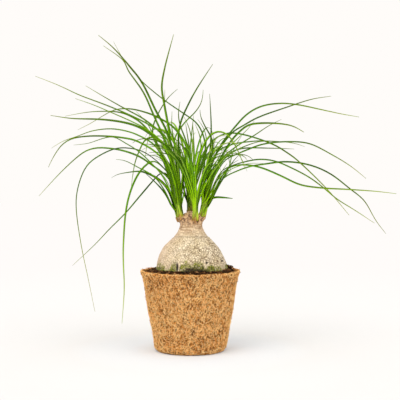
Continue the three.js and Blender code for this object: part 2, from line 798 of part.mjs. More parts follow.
function grownLeaves([crown, count, headings, reaches, rises, droops]) {
  const leaves = [];
  for (let index = 0; index < count; index += 1) {
    const share = (index + random()) / count;
    const heading = (headings[0] + (headings[1] - headings[0]) * share) * DEGREE;
    const reach = between(reaches);
    const rise = between(rises);
    const droop = between(droops);
    const width = between(GROWN_WIDTH);
    const foot = crownPoint(crown, 0);
    const points = leafRoot(crown, heading);
    const fall = [GROWN_FALL, 1 - GROWN_FALL_DROOP * droop];
    for (const [out, up] of [...GROWN_ROUTE, fall, [1, 1 - droop]]) {
      points.push(new THREE.Vector3(
        foot.x + reach * out * Math.cos(heading),
        foot.y + reach * out * Math.sin(heading),
        foot.z + rise * up,
      ));
    }
    leaves.push({ crown, width, heading, points });
  }
  return leaves;
}

// Width of a leaf from its foot, at 0, to its tip, at 1
function leafWidth(width, share) {
  const foot = 1 + LEAF_FOOT_GAIN * (1 - share) ** LEAF_FOOT_POWER;
  const tip = 1 - LEAF_TIP_LOSS * share ** LEAF_TIP_POWER;
  return Math.max(LEAF_FINEST, width * foot * tip);
}

// Where a leaf is at a share of its length, the way it runs there, and two ways across it: the level
// one and the one that shows its width to the front
function leafPlace(path, lengths, share, heading) {
  const length = lengths[lengths.length - 1];
  const centre = pointAtLength(path, lengths, length * share);
  const behind = pointAtLength(path, lengths, Math.max(0, length * share - LEAF_LOOK));
  const ahead = pointAtLength(path, lengths, Math.min(length, length * share + LEAF_LOOK));
  const along = ahead.sub(behind).normalize();
  const level = new THREE.Vector3(-Math.sin(heading), Math.cos(heading), 0);
  level.addScaledVector(along, -level.dot(along)).normalize();
  const facing = new THREE.Vector3().crossVectors(along, TO_BACK);
  return { centre, along, level, facing };
}

// A leaf: a narrow blade, flat above and keeled below
function leafSolid({ width, heading, points }) {
  const path = smoothPath(points);
  const lengths = pathLengths(path);
  const length = lengths[lengths.length - 1];
  const wanted = Math.round(length / LEAF_STEP);
  const steps = Math.min(LEAF_MOST_STEPS, Math.max(LEAF_FEWEST_STEPS, wanted));
  const middle = leafPlace(path, lengths, 0.5, heading);
  const side = middle.level.dot(middle.facing) < LEAF_TURN_APART ? -1 : 1;
  const windsBack = middle.level.cross(middle.facing).dot(middle.along) * side < 0;
  const rings = [];
  for (let step = 0; step <= steps; step += 1) {
    const share = step / steps;
    const { centre, along, level, facing } = leafPlace(path, lengths, share, heading);
    const turn = LEAF_TURN * DEGREE * Math.min(1, share / LEAF_TURN_END);
    const across = level.multiplyScalar(Math.cos(turn))
      .addScaledVector(facing, side * Math.sin(turn))
      .normalize();
    const under = new THREE.Vector3().crossVectors(across, along).normalize();
    const blade = leafWidth(width, share);
    const keel = Math.max(LEAF_THINNEST, blade * LEAF_KEEL);
    const ring = [
      centre.clone().addScaledVector(across, -blade / 2).addScaledVector(under, -keel / 3),
      centre.clone().addScaledVector(across, blade / 2).addScaledVector(under, -keel / 3),
      centre.clone().addScaledVector(under, keel * 2 / 3),
    ];
    // The order of the points follows the turn, so that the blade stays as thick between its rings
    rings.push(windsBack ? ring.reverse() : ring);
  }
  return solidOf(skin(rings));
}

function allLeaves() {
  const leaves = SEEN_LEAVES.map((leaf) => seenLeaf(leaf));
  for (const rule of GROWN_LEAVES) {
    leaves.push(...grownLeaves(rule));
  }
  return leaves;
}

function crownSolid(crown, leaves) {
  const own = leaves.filter((leaf) => leaf.crown === crown);
  return mainBody(joined([crownBundle(crown, 0), ...own.map((leaf) => leafSolid(leaf))]));
}

// Materials
function coirMaterial() {
  return new THREE.MeshStandardMaterial({ color: COIR_COLOUR, roughness: 0.95, metalness: 0 });
}

function soilMaterial() {
  return new THREE.MeshStandardMaterial({ color: SOIL_COLOUR, roughness: 1, metalness: 0 });
}

function stemMaterial() {
  return new THREE.MeshStandardMaterial({ color: STEM_COLOUR, roughness: 0.85, metalness: 0 });
}

function leafMaterial(crown) {
  return new THREE.MeshStandardMaterial({ color: LEAF_COLOURS[crown], roughness: 0.5, metalness: 0 });
}

// The whole plant in its pot
function plant() {
  const group = new THREE.Group();
  group.name = 'potted_ponytail_palm';
  group.add(meshOf('pot', potSolid(), coirMaterial()));
  group.add(meshOf('soil', soilSolid(), soilMaterial()));
  group.add(meshOf('stem', stemSolid(), stemMaterial()));
  const leaves = allLeaves();
  for (const crown of Object.keys(CROWNS)) {
    group.add(meshOf(`crown_${crown}`, crownSolid(crown, leaves), leafMaterial(crown)));
  }
  return group;
}

export default plant();
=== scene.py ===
import math

import bpy
import numpy as np
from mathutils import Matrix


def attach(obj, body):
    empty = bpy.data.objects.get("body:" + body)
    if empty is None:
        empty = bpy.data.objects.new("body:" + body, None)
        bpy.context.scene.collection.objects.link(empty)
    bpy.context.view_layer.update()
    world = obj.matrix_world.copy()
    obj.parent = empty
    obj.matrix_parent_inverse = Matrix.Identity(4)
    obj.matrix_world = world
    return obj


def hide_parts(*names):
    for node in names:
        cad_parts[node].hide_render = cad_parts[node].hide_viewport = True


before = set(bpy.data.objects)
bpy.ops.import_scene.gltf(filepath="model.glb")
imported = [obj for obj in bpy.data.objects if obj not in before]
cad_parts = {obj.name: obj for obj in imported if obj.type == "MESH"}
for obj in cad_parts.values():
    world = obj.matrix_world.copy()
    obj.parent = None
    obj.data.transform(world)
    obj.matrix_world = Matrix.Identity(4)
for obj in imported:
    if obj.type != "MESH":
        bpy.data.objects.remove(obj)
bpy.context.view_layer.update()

MM = 0.001
FULL_TURN = 2 * math.pi

# Camera: the photograph's eye; how far it sees is in metres
EYE_X = 12
EYE_HEIGHT = 208
EYE_DISTANCE = 1150
CAMERA_TILT = 0.99
CAMERA_LENS = 82.6
CAMERA_SENSOR = 36
CAMERA_REACH = 50

# Studio: the floor under both lamps comes out like the world behind it. The fades and the place
# of the painted light are in metres: painted light lifts the pot's shade in front of it, a painted
# cool tint round its foot cancels the warm light that the coir throws on it, and the floor far away.
WORLD_COLOUR = (255, 252, 249)
FLOOR_HALF = 9000
FLOOR_COLOUR = (0.724, 0.738, 0.752, 1)
FLOOR_FAR_COLOUR = (0.705, 0.711, 0.73, 1)
FLOOR_FAR_FADE = (0.25, 1.2)
FLOOR_PAINTED_LIGHT_COLOUR = (0.745, 0.775, 0.8, 1)
FLOOR_PAINTED_LIGHT_CENTRE = (0, -0.1, 0)
FLOOR_PAINTED_LIGHT_FADE = (0.03, 0.2)
FLOOR_PAINTED_COOL_COLOUR = (0.75, 0.802, 0.855, 1)
FLOOR_PAINTED_COOL_FADE = (0.075, 0.15)
# Soft lamps far away: heading from the front towards the right, height, power and softness
LAMPS = {"key": (-38, 52, 1.15, 40), "fill": (48, 48, 0.6, 45)}
LAMP_COLOUR = (1, 0.91, 0.82)

# Pot, as in the solids
POT_HEIGHT = 100
POT_FOOT_RADIUS = 44
POT_WALL = 4
POT_FLOOR = 5
POT_WALL_SLOPE = 0.169
POT_UNEVEN = 0.35
POT_FLAT = 20
# Outline: how far it lies out from the sloping face, height, and share of unevenness outside
POT_OUTSIDE = [
    (-6, 0, 0), (-2.6, 0.8, 0), (-0.8, 2.8, 0), (0, 7, 0.5), (0, 26, 1), (0, 46, 1), (0, 66, 1),
    (0, 82, 1), (0.2, 90, 1), (1.1, 95.2, 1), (2.2, 98.6, 0.7), (1.6, 99.8, 0.5),
    (-0.4, POT_HEIGHT, 0.5),
]
POT_INSIDE = [(1.3, 99.4), (0.5, 97), (0, 93), (0, POT_FLOOR + 4), (-4, POT_FLOOR)]
POT_WAVES = [(1, 5, 0.06, 0), (1, 9, -0.09, 1.7)]
POT_SIDES = 280
POT_OUTLINE_GAP = 1.4

# Coir: how far the wall lies inside the solid's face, and the height where it starts to be uneven
WALL_INSET = 0.3
WALL_UNEVEN_START = 3
WALL_LUMPS = (0.3, 9, 1)
WALL_LUMP_STRETCH = (1, 1, 0.35)
# Pits between the fibres, which run a little upright: how sharp, how rare, how deep and how dark
# their painted shade is
PIT_NOISE = [(1, 0.85, 3), (0.6, 0.6, 4)]
PIT_STRETCH = (1, 1, 0.55)
PIT_SHARPNESS = 1.3
PIT_RARITY = 0.15
PIT_DEPTH = 0.75
PIT_SHADE = 0.7
# How far the rim turns out, painted shade on the rim's top and inner side, and painted shadow at the
# foot
RIM_OUT = 1.6
RIM_PAINTED_SHADE = 0.45
RIM_PAINTED_SHADE_HEIGHT = 94
RIM_PAINTED_SHADE_FADE = 4
FOOT_PAINTED_SHADOW = 0.35
FOOT_PAINTED_SHADOW_HEIGHT = 1.3
COIR_CLOUDS = (0.03, 6, 7)
COIR_CLOUD_STRETCH = (1, 1, 0.25)
# Darker patches: angle, height, half width as an angle, half height and amount
COIR_STAINS = [
    (-133, 86, 15, 9, 0.26), (-76, 13, 15, 10, 0.2), (-38, 82, 12, 10, 0.22),
    (-133, 56, 5, 4, 0.3), (-98, 80, 12, 8, 0.12), (-125, 22, 12, 12, 0.16),
    (-46, 20, 16, 12, 0.14), (60, 25, 16, 12, 0.2), (110, 80, 20, 10, 0.2),
    (160, 40, 16, 16, 0.2),
]

# Fibres on the pot: name of the piece, number, length, radius, how proud they lie,
# tint and its spread; the lower layers' darker tints are painted shade under the fibres above
FIBRE_LAYERS = [
    ("coir_fibres_low", 8800, (3, 10), (0.16, 0.32), (0.0, 0.25), 0.46, 0.24),
    ("coir_fibres_middle", 9600, (3, 11), (0.16, 0.36), (0.15, 0.45), 0.8, 0.24),
    ("coir_fibres_top", 8800, (3, 12), (0.16, 0.38), (0.35, 0.75), 0.99, 0.28),
]
FIBRE_SEED = 100
FIBRE_RINGS = 4
FIBRE_OUTLINE_GAP = 1.3
# Where they start: from this height at the foot, found on that many steps of the outline, to
# this far past the top of the rim, with a power under 1 that crowds them a little towards the
# rim; and how far they may run on
FIBRE_START = 0.3
FIBRE_START_STEPS = 40
FIBRE_PAST_RIM = 9
FIBRE_CROWDING = 0.92
FIBRE_RUN_ON = 4
# Share that runs more or less upright, and how far it leans in radians; the others lie any way.
# The bend is in radians for each mm of length.
FIBRE_UPRIGHT = 0.6
FIBRE_LEAN = 0.75
FIBRE_BEND = 0.12
FIBRE_SHORTENING = (0.6, 1)
# Share that stands off at one end, and how far
FIBRE_STRAY = 0.03
FIBRE_STRAY_RISE = (0.6, 2.4)
FIBRE_ARCH = 0.3
FIBRE_SUNK = 0.1
FIBRE_LOWEST = 0.25
FIBRE_LEAST_REACH = 20
FIBRE_TIP = 0.55
FIBRE_FLATNESS = 1.25
# How the tint changes along a fibre
FIBRE_MOTTLE = (0.62, 0.8, 9)

# Soil, as in the solids
SOIL_LUMP = 1.1
SOIL_WAVES = [(0.5, 13, 1.9, 0), (0.5, 7, -1.3, 0.6)]
SOIL_SIDE = [(4.5, POT_FLOOR + 0.35), (1, POT_FLOOR + 4.5), (0.5, 40), (0.5, 70), (0.5, 93.5)]
SOIL_TOP = [(55.9, 97.6), (53, 99), (50, 100), (47, 100.8), (44, 101.2)]
# Finer ground: sides, rings of the top, where these end under the stem, the low middle and bumps
SOIL_SIDES = 260
SOIL_TOP_RINGS = 26
SOIL_TOP_END = 38
SOIL_MIDDLE = (34, 90)
SOIL_BUMPS = [(0.9, 3.4, 21), (0.6, 1.5, 22)]

# Crumbs: number, and how many of the first ones are bits of bark
CRUMB_SEED = 31
CRUMB_COUNT = 4400
CRUMB_BARK_COUNT = 110
# Where they lie: on all the ground, every third one near the stem, and one in so many in a heap,
# which has a middle and a spread of its reach and, in radians, of its turn
CRUMB_REACH = (44, 57.6)
CRUMB_NEAR = 3
CRUMB_NEAR_REACH = (43, 47.5)
CRUMB_HEAP = 14
HEAP_REACH = (52.5, 1.8)
HEAP_TURN = (0.42, 0.13)
HEAP_RISE = 5
# Sizes, tints and forms of crumbs and of bark, how far above the ground a crumb's middle lies,
# as a share of its size, and how far bark tilts in radians
CRUMB_SIZE = (0.35, 1.25)
CRUMB_WIDTH = (0.6, 1)
CRUMB_FLATNESS = (0.5, 0.9)
CRUMB_TINT = (1.6, 3.2)
CRUMB_UNEVEN = 0.16
CRUMB_RISE = 0.25
CRUMB_LIFT = 0.5
BARK_SIZE = (0.9, 1.7)
BARK_LENGTH = (1.6, 3.0)
BARK_WIDTH = 0.75
BARK_FLATNESS = 0.4
BARK_TILT = 0.8
BARK_TINT = (0.45, 0.95)
CRUMB_CORNERS = np.array([
    (0, 0, 1), (0.9, 0, 0.3), (0.28, 0.85, 0.3), (-0.73, 0.53, 0.3), (-0.73, -0.53, 0.3),
    (0.28, -0.85, 0.3), (0.73, 0.53, -0.35), (-0.28, 0.85, -0.35), (-0.9, 0, -0.35),
    (-0.28, -0.85, -0.35), (0.73, -0.53, -0.35), (0, 0, -0.9),
])
CRUMB_FACES = np.array([
    (0, 1, 2), (0, 2, 3), (0, 3, 4), (0, 4, 5), (0, 5, 1),
    (1, 6, 2), (2, 7, 3), (3, 8, 4), (4, 9, 5), (5, 10, 1),
    (2, 6, 7), (3, 7, 8), (4, 8, 9), (5, 9, 10), (1, 10, 6),
    (11, 7, 6), (11, 8, 7), (11, 9, 8), (11, 10, 9), (11, 6, 10),
])

# Stem, as in the solids
STEM_X = 0.8
STEM_LOBE = 1.3
STEM_LOBE_HEIGHT = 101
STEM_LOBE_SPREAD = 13
STEM_LOBE_WAVES = [(0.6, 7, 0, 0.8), (0.4, 11, 0, 2.1)]
STEM_PROFILE = [
    (65, 0), (66, 10), (69, 24), (74, 34), (81, 41.5), (89, 45.2), (96, 45.8), (101, 45),
    (107, 43.8), (113, 42.2), (119.5, 40), (126, 36.8), (132, 32), (138, 26), (144, 19.6),
    (150, 16), (155.5, 14), (159, 13.6), (163, 13.4), (167, 13.1), (170.5, 11), (173.5, 5.5),
    (174.3, 0),
]
# Finer skin: rings, sides, how near to the poles they come and rounds of smoothing; then the
# grain of the remesh, and the strength and rounds of the smoothing after it
STEM_RINGS = 120
STEM_SIDES = 120
STEM_POLE_GAP = 0.4
STEM_ROUNDS = 5
STEM_VOXEL = 0.82
STEM_SMOOTHING = (0.5, 6)

# Roots: heading, reach, depth and thickness, as in the solids
ROOTS = [
    (15, 27, 48, 3.2), (88, 24, 54, 2.8), (155, 28, 44, 3.0), (232, 25, 50, 3.3),
    (305, 27, 46, 2.7),
]
ROOT_START_RADIUS = 12
ROOT_START_HEIGHT = 74
ROOT_TIP_SHARE = 0.4
ROOT_RINGS = 9
ROOT_SIDES = 12
# The power by which a root's depth grows, and how far out and down its way points at first
ROOT_DIVE = 1.4
ROOT_WAY = (1.1, 0.5)

# Bark: noises for the bulb, the whole stem, the neck's wrinkles and the knobby head
BULB_LUMPS = (0.45, 11, 31)
BARK_GRAIN = (0.22, 2.6, 32)
NECK_WRINKLES = (0.4, 1, 33)
NECK_WRINKLE_STRETCH = (1 / 8, 1 / 8, 1 / 1.25)
NECK_INSET = 0.1
HEAD_KNOBS = (0.75, 2.4, 34)
NECK_START = 147
NECK_FADE = 3.5
HEAD_START = 158
HEAD_FADE = 1.5
# A shelf below the neck: height, wave, half height, depth and darkness
SHELF_HEIGHT = 142.5
SHELF_WAVE = (0.9, 12, 35)
SHELF_REACH = 0.9
SHELF_DEPTH = 0.3
SHELF_DARKNESS = 0.3
# Scars on the front of the bulb: x, height, half width, half height and darkness
STEM_SCARS = [
    (-15.9, 107, 1.2, 6, 1.0), (20.5, 112.6, 1.2, 1.4, 0.9), (39.5, 113, 1.6, 1.0, 0.7),
    (30, 110, 0.6, 2.0, 0.4),
]
SCAR_DEPTH = 0.9
SCAR_DARKNESS = 1.5
# Cracks: strength all round and more of it on one side, that side in radians, and how they
# come in above the soil
CRACK_ROUND = 0.42
CRACK_SIDE = 0.58
CRACK_TURN = 0.6
CRACK_START = 98
CRACK_RISE = 14
CRACK_LEAST = 0.25
# Earth on the bark: height, its noise, its fade, and where it lies higher: angle, width, height
DIRT_HEIGHT = 100.2
DIRT_NOISE = [(1.5, 3.2, 36), (1.3, 9, 37)]
DIRT_FADE = 0.5
DIRT_RISE = (-84, 22, 7.0)

# Moss at the soil: angle and half width of each patch, and height of its upper edge
MOSS_PATCHES = [
    (-150, 15, 111), (-119, 6, 112), (-98, 10, 113.5), (-78, 12, 112.5), (-57, 8, 109.5),
    (-40, 8, 107), (5, 18, 110), (52, 14, 112), (96, 20, 110), (140, 14, 109),
]
MOSS_HEIGHT = 102.5
MOSS_EDGE = [(2.6, 5, 41), (1.6, 2.2, 42)]
MOSS_FADE = 0.9
MOSS_GAPS = [(0.6, 2.6, 43), (0.35, 1.2, 44)]
MOSS_COVER = 0.66
MOSS_STRENGTH = 1.25
MOSS_TOP = 125
# Tufts: least green, least height, share of places, lean, pull upwards, sizes and tints, and
# the way that their sides are found from
TUFT_SEED = 47
TUFT_GREEN = 0.35
TUFT_HEIGHT = 99
TUFT_SHARE = 0.5
TUFT_LEAN = 0.45
TUFT_PULL = 0.3
TUFT_SIZE = (0.25, 0.5)
TUFT_TALL = (0.5, 1.5)
TUFT_SUNK = 0.3
TUFT_TINT = (0.1, 0.9)
TUFT_ASIDE = (0.3, 0.2, 0.9)

# Crowns, as in the solids: foot of each bundle, how far it leans for each mm up, and its size
CROWNS = {
    "left": ((-12, -4, 167), (-0.16, -0.06), 1.12),
    "far_left": ((-13.4, 9.5, 163.6), (-0.34, 0.16), 0.9),
    "back": ((0, 9.5, 173), (-0.03, 0.14), 1.1),
    "front": ((6, -11, 163.5), (0.04, -0.12), 1),
    "right": ((13.8, 1, 166.8), (0.26, 0.03), 1.42),
}
# Knob under each crown: height from its foot, share of the way out from the stem, and radius;
# and how far up its lower rings face
STUB_PROFILE = [(-18, 0.4, 5.5), (-6, 0.64, 4.3), (0.8, 1, 4.4)]
STUB_SLOPE_HEIGHT = 22
STUB_SIDES = 24

# Leaves: height and offset of the root, height of the bundle, the power by which depth grows,
# more width at the foot and less at the tip, and the rings along a leaf
LEAF_ROOT_HEIGHT = 3
LEAF_ROOT_OFFSET = 1.9
LEAF_BUNDLE_HEIGHT = 11
LEAF_DEPTH_BEND = 1.25
LEAF_FOOT_GAIN = 0.55
LEAF_FOOT_POWER = 6
LEAF_TIP_LOSS = 0.8
LEAF_TIP_POWER = 4
LEAF_RING_GAP = 5
LEAF_LEAST_RINGS = 8
CURVE_SAMPLES = 10

# Leaves as seen from the front: crown, width, depth of the tip, tone from dark -1 to bright 1,
# which is the leaf's own colour with painted shade and painted light, or two tones for the foot
# and the tip, and a route of (x, z) from the foot to the tip
SEEN_LEAVES = [
    # Long leaves that lean to the left
    ("left", 2.7, -75, -0.3, [(-21, 226), (-28, 269), (-44, 301), (-60, 334), (-75, 354), (-96, 378),
     (-115, 394)]),
    ("left", 2.8, 12, -0.3, [(-21, 222), (-32, 262), (-46, 294), (-59, 323), (-78, 350), (-84, 363),
     (-109, 381)]),
    ("left", 2.1, -30, (-0.4, 0), [(-24, 222), (-29, 264), (-50, 281), (-75, 294), (-106, 307),
     (-138, 319), (-166, 332), (-194, 343)]),
    ("left", 1.7, -110, 0.3, [(-21, 222), (-34, 258), (-54, 276), (-75, 287), (-100, 298), (-121, 307),
     (-144, 315)]),
    ("left", 4.3, -60, -0.5, [(-24, 232), (-31, 254), (-48, 269), (-66, 280), (-88, 286), (-115, 289),
     (-148, 290), (-175, 294)]),
    ("left", 2.5, -40, (0.2, -0.5), [(-24, 215), (-38, 243), (-65, 261), (-85, 266), (-106, 268),
     (-128, 268), (-148, 265), (-161, 257), (-171, 243), (-178, 229)]),
    ("left", 1.7, -105, -0.3, [(-19, 190), (-30, 213), (-48, 233), (-65, 249), (-81, 259), (-96, 267),
     (-110, 265), (-128, 259), (-146, 257)]),
    ("left", 2.6, 20, (-0.5, 0), [(-26, 213), (-50, 233), (-65, 243), (-85, 250), (-104, 253),
     (-119, 253), (-135, 247), (-161, 224), (-190, 193)]),
    ("left", 1.6, -28, (-0.8, 0.1), [(-24, 214), (-34, 229), (-50, 243), (-66, 251), (-91, 253),
     (-115, 243), (-131, 229), (-141, 203), (-143, 176), (-137, 132), (-128, 88), (-120, 48)]),
    ("left", 2.4, -68, (-0.5, 0.75), [(-21, 208), (-29, 223), (-43, 236), (-50, 236), (-63, 224),
     (-74, 202), (-81, 173), (-84, 132), (-84, 107), (-83, 76), (-86, 33)]),
    ("left", 3.0, -56, 0.4, [(-20, 224), (-29, 248), (-38, 262), (-47, 267), (-57, 263), (-65, 247),
     (-70, 232), (-74, 206)]),
    ("left", 2.8, -74, -0.3, [(-19, 185), (-28, 202), (-38, 212), (-54, 223), (-64, 228), (-81, 237),
     (-93, 239)]),
    ("left", 1.6, -34, -0.3, [(-20, 206), (-28, 231), (-34, 236), (-44, 241)]),
    ("left", 1.7, -48, -0.3, [(-21, 222), (-29, 245), (-38, 254), (-50, 258), (-61, 258)]),
    ("far_left", 2.4, 90, -0.4, [(-23, 222), (-32, 264), (-55, 287), (-85, 304), (-106, 316),
     (-131, 331)]),
    ("far_left", 2.6, 98, -0.4, [(-25, 215), (-40, 255), (-58, 281), (-75, 293), (-90, 298),
     (-106, 299), (-128, 298), (-157, 293)]),
    ("far_left", 1.8, 44, -0.4, [(-24, 220), (-38, 252), (-46, 268), (-54, 284), (-68, 299)]),
    ("far_left", 2.1, 72, (-0.3, 0), [(-26, 212), (-41, 252), (-65, 269), (-88, 276), (-106, 277),
     (-125, 274), (-141, 268), (-159, 262), (-174, 253)]),
    ("far_left", 2.5, 70, (-0.9, 0), [(-22, 192), (-27, 216), (-35, 223), (-45, 214), (-64, 192),
     (-81, 172), (-103, 150), (-120, 132), (-148, 106)]),
    ("far_left", 4.2, 62, -0.9, [(-22, 185), (-26, 197), (-33, 208), (-43, 216), (-53, 221), (-63, 224),
     (-75, 223), (-88, 221), (-94, 219), (-99, 216)]),
    ("far_left", 3.1, 42, -0.7, [(-23, 179), (-29, 192), (-38, 204), (-48, 214), (-58, 223)]),
    ("far_left", 2.0, 14, -0.5, [(-20.5, 177), (-23.5, 180), (-27.5, 187)]),
    ("back", 1.7, 118, -0.6, [(9, 212), (18, 244), (17, 266), (8, 284), (-8, 296), (-30, 311),
     (-49, 326), (-62, 338), (-83, 363), (-96, 386)]),
    ("back", 2.9, 150, -0.4, [(1, 215), (-4, 252), (-19, 277), (-38, 290), (-54, 297), (-75, 302),
     (-94, 301), (-110, 293), (-125, 284), (-141, 276)]),

    # Leaves that fill the left crowns
    ("left", 3.3, -22, 0.9, [(-16, 199), (-20, 218), (-25, 237), (-30, 253), (-36, 263), (-45, 268)]),
    ("left", 3.1, -30, 0.9, [(-14, 199), (-17, 219), (-21, 238), (-25, 255), (-30, 270)]),
    ("left", 3.0, 2, -0.7, [(-11, 199), (-8, 220), (-6, 240), (-6, 258)]),
    ("left", 2.8, -45, 0.8, [(-17, 199), (-23, 222), (-31, 240), (-40, 252), (-52, 258)]),
    ("left", 2.4, -24, 0.9, [(-13, 199), (-15, 222), (-17, 242), (-18, 262)]),
    ("left", 3.2, -16, -0.4, [(-19, 173), (-25, 184), (-31, 197), (-39, 210), (-50, 222)]),
    ("left", 2.9, -24, 0.4, [(-17, 176), (-22, 190), (-28, 205), (-37, 221), (-49, 234)]),
    ("left", 2.2, -2, 0.0, [(-10, 187), (-8, 197), (-6, 209), (-3, 224)]),
    ("left", 2.6, -9, 0.5, [(-12, 199), (-10, 218), (-9, 236), (-12, 252)]),

    # Leaves that stand up in the middle
    ("left", 3.0, -14, 0.1, [(-18, 205), (-24, 244), (-27, 275), (-33, 309), (-36, 330), (-32, 354),
     (-26, 377), (-21, 395)]),
    ("left", 1.9, -8, -0.2, [(-20, 205), (-34, 240), (-46, 265), (-47, 280), (-39, 299), (-28, 316),
     (-16, 327)]),
    ("back", 2.3, 90, -0.8, [(-5, 205), (-13, 240), (-15, 266), (-12, 286), (-3, 307), (9, 329),
     (28, 358)]),
    ("back", 2.0, 42, -0.1, [(-7, 212), (-17, 244), (-20, 264), (-8, 284), (6, 298), (14, 311),
     (16, 326)]),
    ("front", 2.3, -110, -0.6, [(14, 212), (27, 246), (27, 264), (19, 279), (13, 292), (12, 301)]),
    ("right", 2.2, 26, -0.9, [(21, 210), (24, 240), (26, 275), (25, 304), (24, 321)]),
    ("back", 1.6, 150, 0.1, [(-7, 215), (-19, 255), (-28, 285), (-32, 305), (-32, 326)]),
    ("back", 1.7, 112, -0.2, [(-7, 214), (-17, 250), (-23, 276), (-23, 299)]),
    ("front", 1.8, -118, -0.1, [(5, 205), (0, 243), (-7, 266), (-13, 282), (-15, 296), (-13, 311)]),
    ("back", 1.7, 165, -0.1, [(2, 210), (4, 245), (0, 272), (-4, 284), (-8, 292)]),
    ("front", 1.6, -150, 0.0, [(5, 205), (1, 240), (-3, 264), (-6, 284)]),
    ("back", 1.8, 100, -0.1, [(0, 215), (0, 253), (2, 275), (4, 294)]),
    ("front", 1.7, -165, 0.4, [(7, 205), (5, 240), (4, 263), (3, 283)]),
    ("back", 1.8, 130, 0.2, [(6, 212), (13, 246), (12, 267), (6, 283)]),
    ("front", 2.5, -105, 0.4, [(6, 205), (10, 236), (17, 258), (26, 270), (36, 274), (46, 270),
     (54, 260), (62, 244), (68, 228)]),
    ("back", 1.7, 68, -0.5, [(7, 212), (17, 245), (20, 264), (16, 279), (9, 289)]),
    ("front", 2.1, -112, 0.0, [(6, 202), (1, 232), (-8, 253), (-24, 269)]),
    ("front", 2.2, -122, 0.6, [(4, 194), (-3, 218), (-12, 240), (-24, 250)]),
    ("front", 2.0, -92, 0.5, [(2, 194), (-6, 218), (-13, 232), (-21, 244)]),

    # Leaves that fill the middle and the right crown
    ("back", 3.0, 40, -0.9, [(-4, 200), (-9, 220), (-12, 240), (-13, 262)]),
    ("back", 3.0, 28, -1.0, [(-5, 189), (-8, 201), (-10, 216), (-9, 232), (-6, 246)]),
    ("back", 1.8, 22, -0.5, [(-4, 187), (-8, 194), (-12, 202), (-17, 213)]),
    ("back", 2.8, 55, -0.8, [(3, 200), (6, 222), (10, 243), (16, 262)]),
    ("back", 2.5, 30, -0.7, [(-2, 203), (-5, 226), (-10, 247), (-18, 262)]),
    ("back", 2.2, 24, -0.7, [(4, 203), (9, 224), (15, 243), (24, 256)]),
    ("front", 2.2, -70, 0.7, [(10, 186), (18, 205), (27, 221), (38, 236), (50, 248)]),
    ("front", 2.0, -52, 0.4, [(9, 190), (15, 211), (22, 231), (32, 250)]),
    ("right", 3.1, -18, 0.1, [(20, 176), (26, 186), (32, 199), (40, 213), (50, 226)]),
    ("right", 2.4, 14, 0.5, [(18, 176), (24, 188), (29, 202), (36, 218), (46, 234)]),
    ("right", 2.9, 16, -0.5, [(16, 190), (17, 212), (20, 232), (24, 250)]),
    ("right", 2.2, -20, 0.7, [(19, 190), (24, 212), (31, 233), (40, 250)]),
    ("right", 2.0, 10, 0.5, [(18, 188), (21, 208), (28, 228), (37, 243), (49, 252)]),
    ("right", 2.4, 24, -0.9, [(15, 186), (14, 200), (15, 222), (20, 244)]),
    ("right", 2.7, -12, 0.9, [(21, 185), (25, 201), (31, 219), (41, 238), (54, 250)]),
    ("right", 3.0, -46, -0.6, [(24, 184), (30, 199), (38, 215), (49, 231), (60, 238)]),

    # Long leaves that lean to the right
    ("right", 2.2, 40, (-0.6, 0.3), [(22, 210), (34, 250), (58, 282), (73, 297), (91, 306), (114, 309),
     (136, 307), (160, 302), (188, 296), (211, 292)]),
    ("right", 2.0, -72, -0.6, [(21, 205), (30, 240), (50, 270), (66, 281), (86, 292), (120, 304),
     (151, 314), (176, 318)]),
    ("right", 3.2, -104, (-0.6, 0), [(23, 205), (36, 235), (47, 256), (58, 270), (71, 281), (85, 284),
     (107, 284), (127, 281), (142, 273)]),
    ("right", 1.7, 98, -0.3, [(25, 210), (38, 238), (52, 251), (65, 260), (80, 269), (98, 281),
     (114, 289)]),
    ("right", 1.9, -40, (-0.5, -0.1), [(24, 203), (41, 235), (55, 244), (74, 252), (91, 258),
     (118, 261), (148, 259), (175, 246), (200, 231), (220, 215)]),
    ("right", 1.8, 80, -0.3, [(21, 212), (31, 245), (50, 257), (73, 261), (91, 262), (125, 260),
     (143, 255)]),
    ("right", 2.3, -78, -0.2, [(24, 205), (37, 232), (50, 246), (65, 254), (85, 261), (98, 261)]),
    ("right", 1.9, 108, -0.7, [(24, 205), (37, 234), (52, 248), (68, 253), (99, 253), (130, 252)]),
    ("right", 1.9, -22, (-0.6, 0.2), [(18, 203), (18, 234), (23, 257), (36, 268), (50, 272), (66, 270),
     (84, 265), (105, 257), (120, 248), (136, 236), (171, 202), (199, 169)]),
    ("right", 2.2, 30, (-0.4, -0.7), [(27, 191), (40, 214), (58, 224), (75, 230), (93, 233), (120, 236),
     (149, 232), (175, 221), (200, 202), (218, 187), (232, 163), (245, 146)]),
    ("right", 1.7, -58, (-0.6, 0.2), [(25, 198), (38, 223), (52, 231), (69, 236), (86, 239), (105, 237),
     (125, 229), (148, 217), (166, 204), (184, 189), (205, 176), (231, 159)]),
    ("right", 2.3, -90, (-0.4, 0.4), [(23, 192), (35, 216), (48, 228), (62, 232), (78, 231), (93, 227),
     (114, 218), (138, 207), (166, 203), (184, 202), (203, 201), (232, 199), (258, 196)]),
    ("right", 1.9, -74, 0.4, [(25, 196), (35, 214), (48, 225), (62, 231), (75, 234), (91, 234)]),
    ("right", 1.8, 68, 0.7, [(26, 210), (40, 238), (52, 250), (64, 240), (71, 224)]),
    ("right", 2.9, -48, -0.7, [(22, 182), (30, 197), (40, 214), (51, 233), (62, 246)]),
    ("right", 1.6, 116, 0.3, [(24, 210), (40, 245), (58, 264), (70, 275), (80, 287)]),
    ("right", 1.8, -50, 0.2, [(23, 190), (38, 211), (48, 228), (52, 245), (57, 257), (64, 268)]),
    ("right", 3.9, -14, -0.6, [(22, 184), (27, 191), (36, 191.5), (44, 191), (53, 190)]),
]

